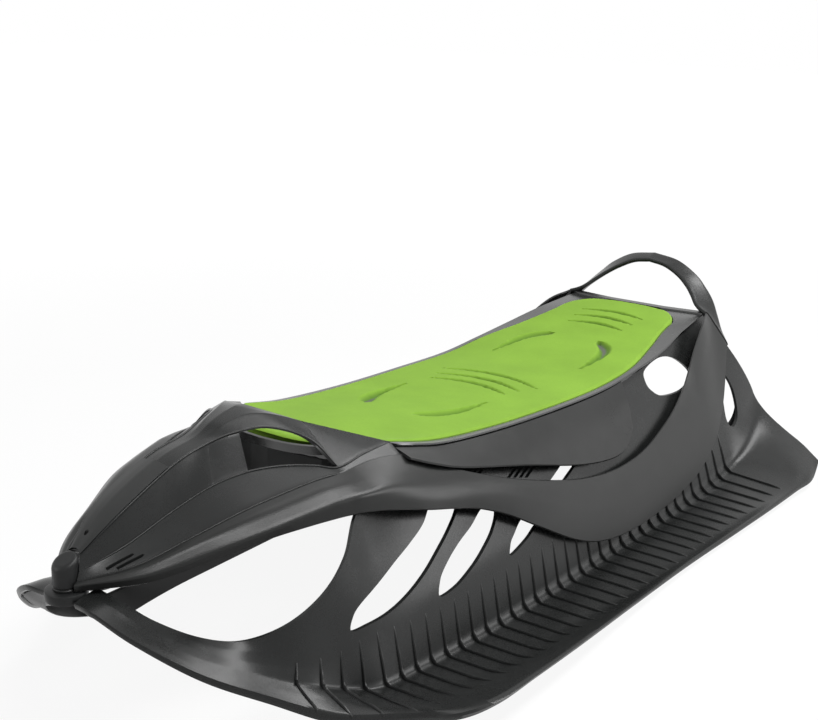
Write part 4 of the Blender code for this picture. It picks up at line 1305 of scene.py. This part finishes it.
    def mark(self, pad: Object, name: str, values: Array) -> None:
        """Store values of the pad's top on its points; the points of its under side get 0.

        Args:
            pad: The pad.
            name: Name of the attribute.
            values: One value for each point of the top, rows by columns.
        """
        whole = np.concatenate([values, np.zeros_like(values)], axis=1).reshape(-1)
        layer = pad.data.attributes.new(name, "FLOAT", "POINT")
        layer.data.foreach_set("value", whole[:len(pad.data.vertices)].astype(np.float32))


@dataclass
class Nose(Assembly):
    """Nose shell with its spine, hand-holes and arched grip, and the strip on the spine."""

    wall: float = 0.003
    per: int = 8
    cover_wall: float = 0.0016
    cover_lift: float = 0.0026
    cover_share: float = 0.97
    cover_pitch: float = 0.002
    cover_rounding: int = 1
    spine_edge: Points = (
        (7, 31, 204), (17, 74, 235), (17.5, 140, 262), (17.5, 187, 270.5), (26, 221, 275),
        (41, 252, 274), (71, 277, 261), (101, 285, 236))
    spine_middle: Points = (
        (5, 32.2, 206), (8.5, 74, 237), (9, 140, 263.5), (9, 187, 272), (13, 215, 282),
        (20, 242, 286.5), (34, 264, 283), (52, 288, 273))
    spine_centre: Points = (
        (0, 33.3, 206.5), (0, 74, 238), (0, 140, 264.5), (0, 187, 273), (0, 208, 282),
        (0, 228, 287.5), (0, 244, 290), (0, 257, 288.5))
    trough: Points = (
        (11.5, 26, 192), (24, 70, 205), (29, 125, 222), (36, 172, 235), (48, 210, 241),
        (64, 243, 241), (83, 268, 238.5), (101, 285, 236), (104, 322, 241), (105.7, 365, 241.7))
    pitches: tuple[float, ...] = (0.003, 0.004, 0.004, 0.005, 0.006)
    spine_rows: int = 3
    arch_stretch: int = 7
    weld: float = 4e-5
    bead_radius: float = 0.0013
    bead_sides: int = 10
    bead_tip: tuple[float, float] = (0.12, 0.15)
    bead_shift: tuple[float, float, float] = (0.0004, 0, -0.0002)
    ease: float = 0.0011
    ease_angle: float = 0.42
    slit_heights: tuple[float, float] = (185, 225)
    hole_station: float = 46
    hole_radius: float = 0.0022
    hole_sides: int = 24
    hole_heights: tuple[float, float] = (0.20, 0.27)
    slits: tuple[Outline, ...] = (
        ((24.5, 45), (33, 70), (35, 71), (34.5, 67), (27, 45)),
        ((31, 52), (40, 76), (42, 77), (41.5, 73), (33.5, 52)),
    )

    def tops(self) -> list[Array]:
        """Read the lines of the spine and of the arch behind it: centre, middle and edge."""
        lines = (self.spine_centre, self.spine_middle, self.spine_edge)
        return [rail(line, self.per) for line in lines]

    def bands(self) -> list[Array]:
        """List the grids between the drawn lines of the right half.

        Returns:
            The grids, each rows by columns by 3.
        """
        top = self.tops()
        flank = [rail(line, self.per) for line in (self.trough, CREASE)]
        count = self.spine_rows * self.per + 1
        wall = slice(count - 1, count + self.per)
        rest = flank[0][self.arch_stretch * self.per:]
        bands = (top, [top[2][:count], flank[0][:count]], flank, [top[2][wall], flank[0][wall]],
                 [np.repeat(top[1][-1:], len(rest), axis=0), rest])
        return [columns(rails, pitch) for rails, pitch in zip(bands, self.pitches)]

    def bead(self, line: Array) -> Mesh:
        """Sweep a small circle along a line, thinned at both ends.

        Args:
            line: The middle of the bead.

        Returns:
            Points and faces.
        """
        along = unit(np.gradient(line, axis=0))
        side = unit(np.cross(along, (0.0, 0.0, 1.0)))
        up = np.cross(side, along)
        angle = turns(self.bead_sides)[None, :, None]
        t = np.linspace(0, 1, len(line))
        run, least = self.bead_tip
        size = self.bead_radius * np.minimum(np.minimum(t, 1 - t) / run + least, 1.0)[:, None, None]
        return loops_mesh(line[:, None] + (side[:, None] * np.cos(angle)
                                           + up[:, None] * np.sin(angle)) * size)

    def build(self) -> None:
        """Make the shell, its beads and the strip."""
        self.build_shell()
        lines = (self.tops()[2], rail(CREASE, self.per)[:self.arch_stretch * self.per],
                 rail(self.trough, self.per))
        beads = merged(self.bead((line + self.bead_shift) * (side, 1, 1))
                       for line in lines for side in SIDES)
        self.shop.dress("nose_beads", beads, Look.SMOOTH, replaces=False)
        self.build_strip()

    def build_shell(self) -> None:
        """Make the shell: its bands joined, given a wall and eased edges, and slit."""
        halves = merged((grid.reshape(-1, 3) * (side, 1, 1), grid_faces(*grid.shape[:2]).tolist())
                        for grid in self.bands() for side in SIDES)
        shell = self.shop.piece("nose_shell_dressed", halves, Look.SMOOTH)
        self.shop.face_out(shell, self.weld)
        if sum(polygon.normal.z * polygon.area for polygon in shell.data.polygons) < 0:
            shell.data.flip_normals()
        wall = shell.modifiers.new("Wall", "SOLIDIFY")
        wall.thickness, wall.offset, wall.use_even_offset = self.wall, -1.0, True
        ease = shell.modifiers.new("Eased edges", "BEVEL")
        ease.width, ease.segments = self.ease, 3
        ease.limit_method, ease.angle_limit = "ANGLE", self.ease_angle
        self.shop.settle(shell)
        self.shop.carve(shell, Look.SMOOTH, [
            loops_mesh(np.stack([place([(x * side, s, z) for x, s in slit])
                                 for z in self.slit_heights]))
            for slit in self.slits for side in SIDES])
        self.shop.fit(shell, Look.SMOOTH, "nose_shell")

    def build_strip(self) -> None:
        """Lay the strip on the spine, with its small hole."""
        lines = [line[:2 * self.per] * (self.cover_share, 1, 1) + (0, 0, self.cover_lift)
                 for line in self.tops()]
        hole = place((0, self.hole_station, 0))[1]
        x, y = (self.hole_radius * run(turns(self.hole_sides)) for run in (np.cos, np.sin))
        bore = [np.column_stack([x, hole + y, np.full_like(x, z)]) for z in self.hole_heights]
        grid = columns(lines, self.cover_pitch, self.cover_rounding)
        mesh = walled(both_sides(grid), self.cover_wall, (0, 0, 1))
        self.shop.dress("spine_cover", mesh, Look.COVER, [loops_mesh(np.stack(bore))])


@dataclass
class NoseJoint(Assembly):
    """Cap and collar at the tip of the nose.

    The edges of the collar and the foot of the cap are (inset, height) points: how far
    they lie inside the full radius, and how far from the collar's end or the cap's bottom.
    """

    station: float = 19.8
    cap_radius: float = 0.0120
    cap_bottom: float = 0.1748
    cap_front: float = 0.1975
    cap_rear: float = 0.2085
    collar_radius: float = 0.0198
    collar_height: float = 0.0098
    gap: float = 0.0003
    bore: float = 0.0033
    ease: float = 0.0042
    segments: int = 64
    crown_points: int = 7
    top_points: int = 8
    cap_foot: Outline = (
        (0.0, 0.0), (0.0, 0.0015), (0.0007, 0.0022), (0.0007, 0.0034), (0.0, 0.0042))
    collar_top: Outline = ((0.0016, 0.0), (0.0004, 0.0006), (0.0, 0.0018))
    collar_foot: Outline = ((0.0, 0.0018), (0.0006, 0.0005), (0.0018, 0.0))

    def turned(self, profile: Array) -> Array:
        """Turn a closed profile about the joint's axis.

        Args:
            profile: Its (radius, height) points.

        Returns:
            The copies, segments by points by 3.
        """
        angle = turns(self.segments)[:, None]
        radius, height = profile[None, :, 0], profile[None, :, 1]
        middle = place((0, self.station, 0))[1]
        return np.stack([radius * np.cos(angle), middle + radius * np.sin(angle),
                         np.broadcast_to(height, (self.segments, len(profile)))], axis=-1)

    def build(self) -> None:
        """Make the cap and the collar."""
        self.build_cap()
        high = self.cap_bottom - self.gap
        low, radius = high - self.collar_height, self.collar_radius
        profile = [(self.bore, high)]
        profile += [(radius - inset, high - drop) for inset, drop in self.collar_top]
        profile += [(radius - inset, low + rise) for inset, rise in self.collar_foot]
        profile.append((self.bore, low))
        self.shop.dress("nose_collar", ring_mesh(self.turned(np.array(profile))), Look.DARK)

    def build_cap(self) -> None:
        """Make the cap, whose foot has a step and whose rounded top slants.

        The foot's heights count up from the cap's bottom, and the crown's count down from
        the slanted top. The point between them lies halfway.
        """
        r, e = self.cap_radius, self.ease
        foot = [(r - inset, height) for inset, height in self.cap_foot]
        crown = [(r - e + e * np.cos(a), (1 - np.sin(a)) * e)
                 for a in np.linspace(0, np.pi / 2, self.crown_points)]
        inside = [(x, 0.0) for x in np.linspace(r - e, 0.0, self.top_points)[1:]]
        profile = np.array(foot + [(r, 0.0)] + crown + inside)
        cap = self.turned(profile)
        top = self.cap_front + (self.cap_rear - self.cap_front) \
            * ((cap[..., 1] - place((0, self.station, 0))[1]) / r + 1) / 2
        between = len(foot)
        cap[:, :between, 2] = self.cap_bottom + profile[:between, 1]
        cap[:, between, 2] = (self.cap_bottom + top[:, between]) / 2
        cap[:, between + 1:, 2] = top[:, between + 1:] - profile[between + 1:, 1]
        mesh = loops_mesh(cap.transpose(1, 0, 2))
        self.shop.dress("nose_cap", mesh, Look.DARK)


@dataclass
class RearPanel(Assembly):
    """Upright wall under the rear edge of the deck, with an arched lower edge, in millimetres."""

    wall: float = 3.0
    half_width: float = 95.0
    station: float = 1143.5
    top: float = 223.5
    foot: float = 172.0
    arch: float = 11.0
    ease: tuple[float, float] = (0.8, 1.0)
    sections: int = 25

    def build(self) -> None:
        """Loft the wall across the sled.

        Its foot rises as one minus the square of the share of the half width.
        """
        share = np.linspace(-1, 1, self.sections)
        foot = self.foot + self.arch * (1 - share ** 2)
        far, near = self.station, self.station - self.wall
        inset, drop = self.ease
        corners = [(near, self.top - drop), (near, foot), (far, foot), (far, self.top - drop),
                   (far - inset, self.top), (near + inset, self.top)]
        loops = [place(np.column_stack(np.broadcast_arrays(share * self.half_width, s, z)))
                 for s, z in corners]
        mesh = loops_mesh(np.stack(loops, axis=1))
        self.shop.dress("rear_panel", mesh, Look.DARK)


@dataclass
class GrabHoop(Assembly):
    """Flat hoop behind the seat."""

    thickness: float = 0.007
    per: int = 12
    sides: int = 28
    roundness: tuple[float, float] = (0.30, 0.62)
    front: Points = (
        (117, 1150, 232), (106, 1152, 236), (96, 1155, 241), (84, 1165, 251), (70, 1174, 262),
        (50, 1181, 274.5), (25, 1183, 286), (0, 1183.5, 290.5))
    rear: Points = (
        (151, 1163, 183), (137, 1170, 200), (122.5, 1183, 219), (107, 1196, 239), (90, 1202, 257),
        (72, 1204, 273.5), (40, 1204.8, 291.2), (0, 1204.8, 298))

    def build(self) -> None:
        """Loft the hoop.

        Each section is a rounded rectangle: its width runs from the front line to the
        rear line, and its thickness lies on the inner side.
        """
        front, rear = (np.vstack([right, right[-2::-1] * (-1, 1, 1)])
                       for right in (rail(line, self.per) for line in (self.front, self.rear)))
        along = np.gradient(front, axis=0) + np.gradient(rear, axis=0)
        inward = -unit(np.cross(rear - front, along))
        wide, deep = (np.sign(wave) * np.abs(wave) ** power for wave, power in
                      zip((np.cos(turns(self.sides)), np.sin(turns(self.sides))), self.roundness))
        middle, half = (front + rear) / 2, (rear - front) / 2
        loops = middle[:, None] + half[:, None] * wide[None, :, None] \
            + inward[:, None] * (self.thickness / 2 * (1 + deep[None, :, None]))
        self.shop.dress("grab_hoop", loops_mesh(loops), Look.SMOOTH)


# Studio


def set_up(obj: Object, spot: Sequence[float], axes: Sequence[Array]) -> None:
    """Stand a lamp or the camera at a spot, with its own X, Y and Z along the axes."""
    turn = Matrix(np.column_stack(axes).tolist()).to_4x4()
    obj.matrix_world = Matrix.Translation(spot) @ turn


@dataclass(frozen=True)
class Lamp:
    """Soft lamp, so wide and so long, that shines at a place."""

    name: str
    spot: tuple[float, float, float]
    aim: tuple[float, float, float]
    size: tuple[float, float]
    power: float

    def hang(self) -> None:
        """Make the lamp."""
        data = bpy.data.lights.new(self.name, "AREA")
        data.shape, data.energy = "RECTANGLE", self.power
        data.size, data.size_y = self.size
        back = unit(np.array(self.spot, float) - np.array(self.aim, float))
        side = unit(np.cross((0.0, 1.0, 0.0), back))
        set_up(add(self.name, data), self.spot, [side, np.cross(back, side), back])


@dataclass
class Studio:
    """Pale floor, soft lamps and the camera of the photograph."""

    lens: float = 58.5304
    sensor: float = 36.0
    spot: tuple[float, float, float] = (0.881495, -1.294759, 0.715835)
    right: tuple[float, float, float] = (0.810479, 0.585417, 0.020268)
    down: tuple[float, float, float] = (0.180802, -0.217101, -0.959259)
    ahead: tuple[float, float, float] = (-0.557166, 0.781124, -0.281801)
    floor: PaleFloor = PaleFloor("pale_floor", (0.60, 0.60, 0.60))
    floor_reach: float = 9.0
    floor_height: float = -0.0004
    soft_light: float = 0.18
    lamps: tuple[Lamp, ...] = (
        Lamp("overhead", (-0.4, 0.8, 2.0), (0, 0, 0.1), (1.1, 1.1), 5.0),
        Lamp("left_front", (-1.5, -2.0, 1.2), (0, -0.1, 0.15), (0.9, 0.9), 8.0),
        Lamp("right_strip", (0.95, 0.35, 1.9), (0, 0.25, 0.15), (0.5, 3.1), 60.0),
        Lamp("right_rear", (2.1, 1.7, 0.8), (0, 0.1, 0.12), (0.9, 0.9), 16.0),
    )

    def build_floor(self) -> None:
        """Lay the floor."""
        mesh, reach = bpy.data.meshes.new("floor"), self.floor_reach
        corners = [(x * reach, y * reach, self.floor_height)
                   for x, y in ((-1, -1), (1, -1), (1, 1), (-1, 1))]
        mesh.from_pydata(corners, [], [(0, 1, 2, 3)])
        mesh.materials.append(self.floor.make())
        add("floor", mesh)

    def build_world(self) -> None:
        """Make a world that lights softly and is seen as white."""
        bpy.context.scene.world = bpy.data.worlds.new("studio")
        g = Graph(bpy.context.scene.world, "OutputWorld")
        soft, white = (g.node("Background", {"Color": WHITE, "Strength": level})
                       for level in (self.soft_light, 1.0))
        g.surface(g.node("MixShader", {0: g.seen(), 1: soft, 2: white}))

    def build(self) -> None:
        """Make the floor, the lamps, the world and the camera."""
        self.build_floor()
        for lamp in self.lamps:
            lamp.hang()
        self.build_world()
        data = bpy.data.cameras.new("camera")
        data.lens, data.sensor_width, data.sensor_fit = self.lens, self.sensor, "HORIZONTAL"
        camera, axes = add("camera", data), np.array([self.right, self.down, self.ahead])
        set_up(camera, self.spot, axes * np.array([[1], [-1], [-1]]))
        bpy.context.scene.camera = camera
        bpy.context.scene.view_settings.view_transform = "Standard"


def main() -> None:
    """Build the sled's pieces in order."""
    logging.basicConfig(level=logging.INFO, format="%(name)s %(message)s")
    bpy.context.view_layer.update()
    shop = Workshop()
    wing = Wing(shop)
    wing.build()
    Keel(shop).build()
    TailSkirt(shop, wing.windows["slot"]).build()
    for assembly in (Flank, SeatSkirt, Seat, Nose, NoseJoint, RearPanel, GrabHoop):
        assembly(shop).build()
    shop.dress_nodes()
    Studio().build()


if __name__ == "__main__":
    main()
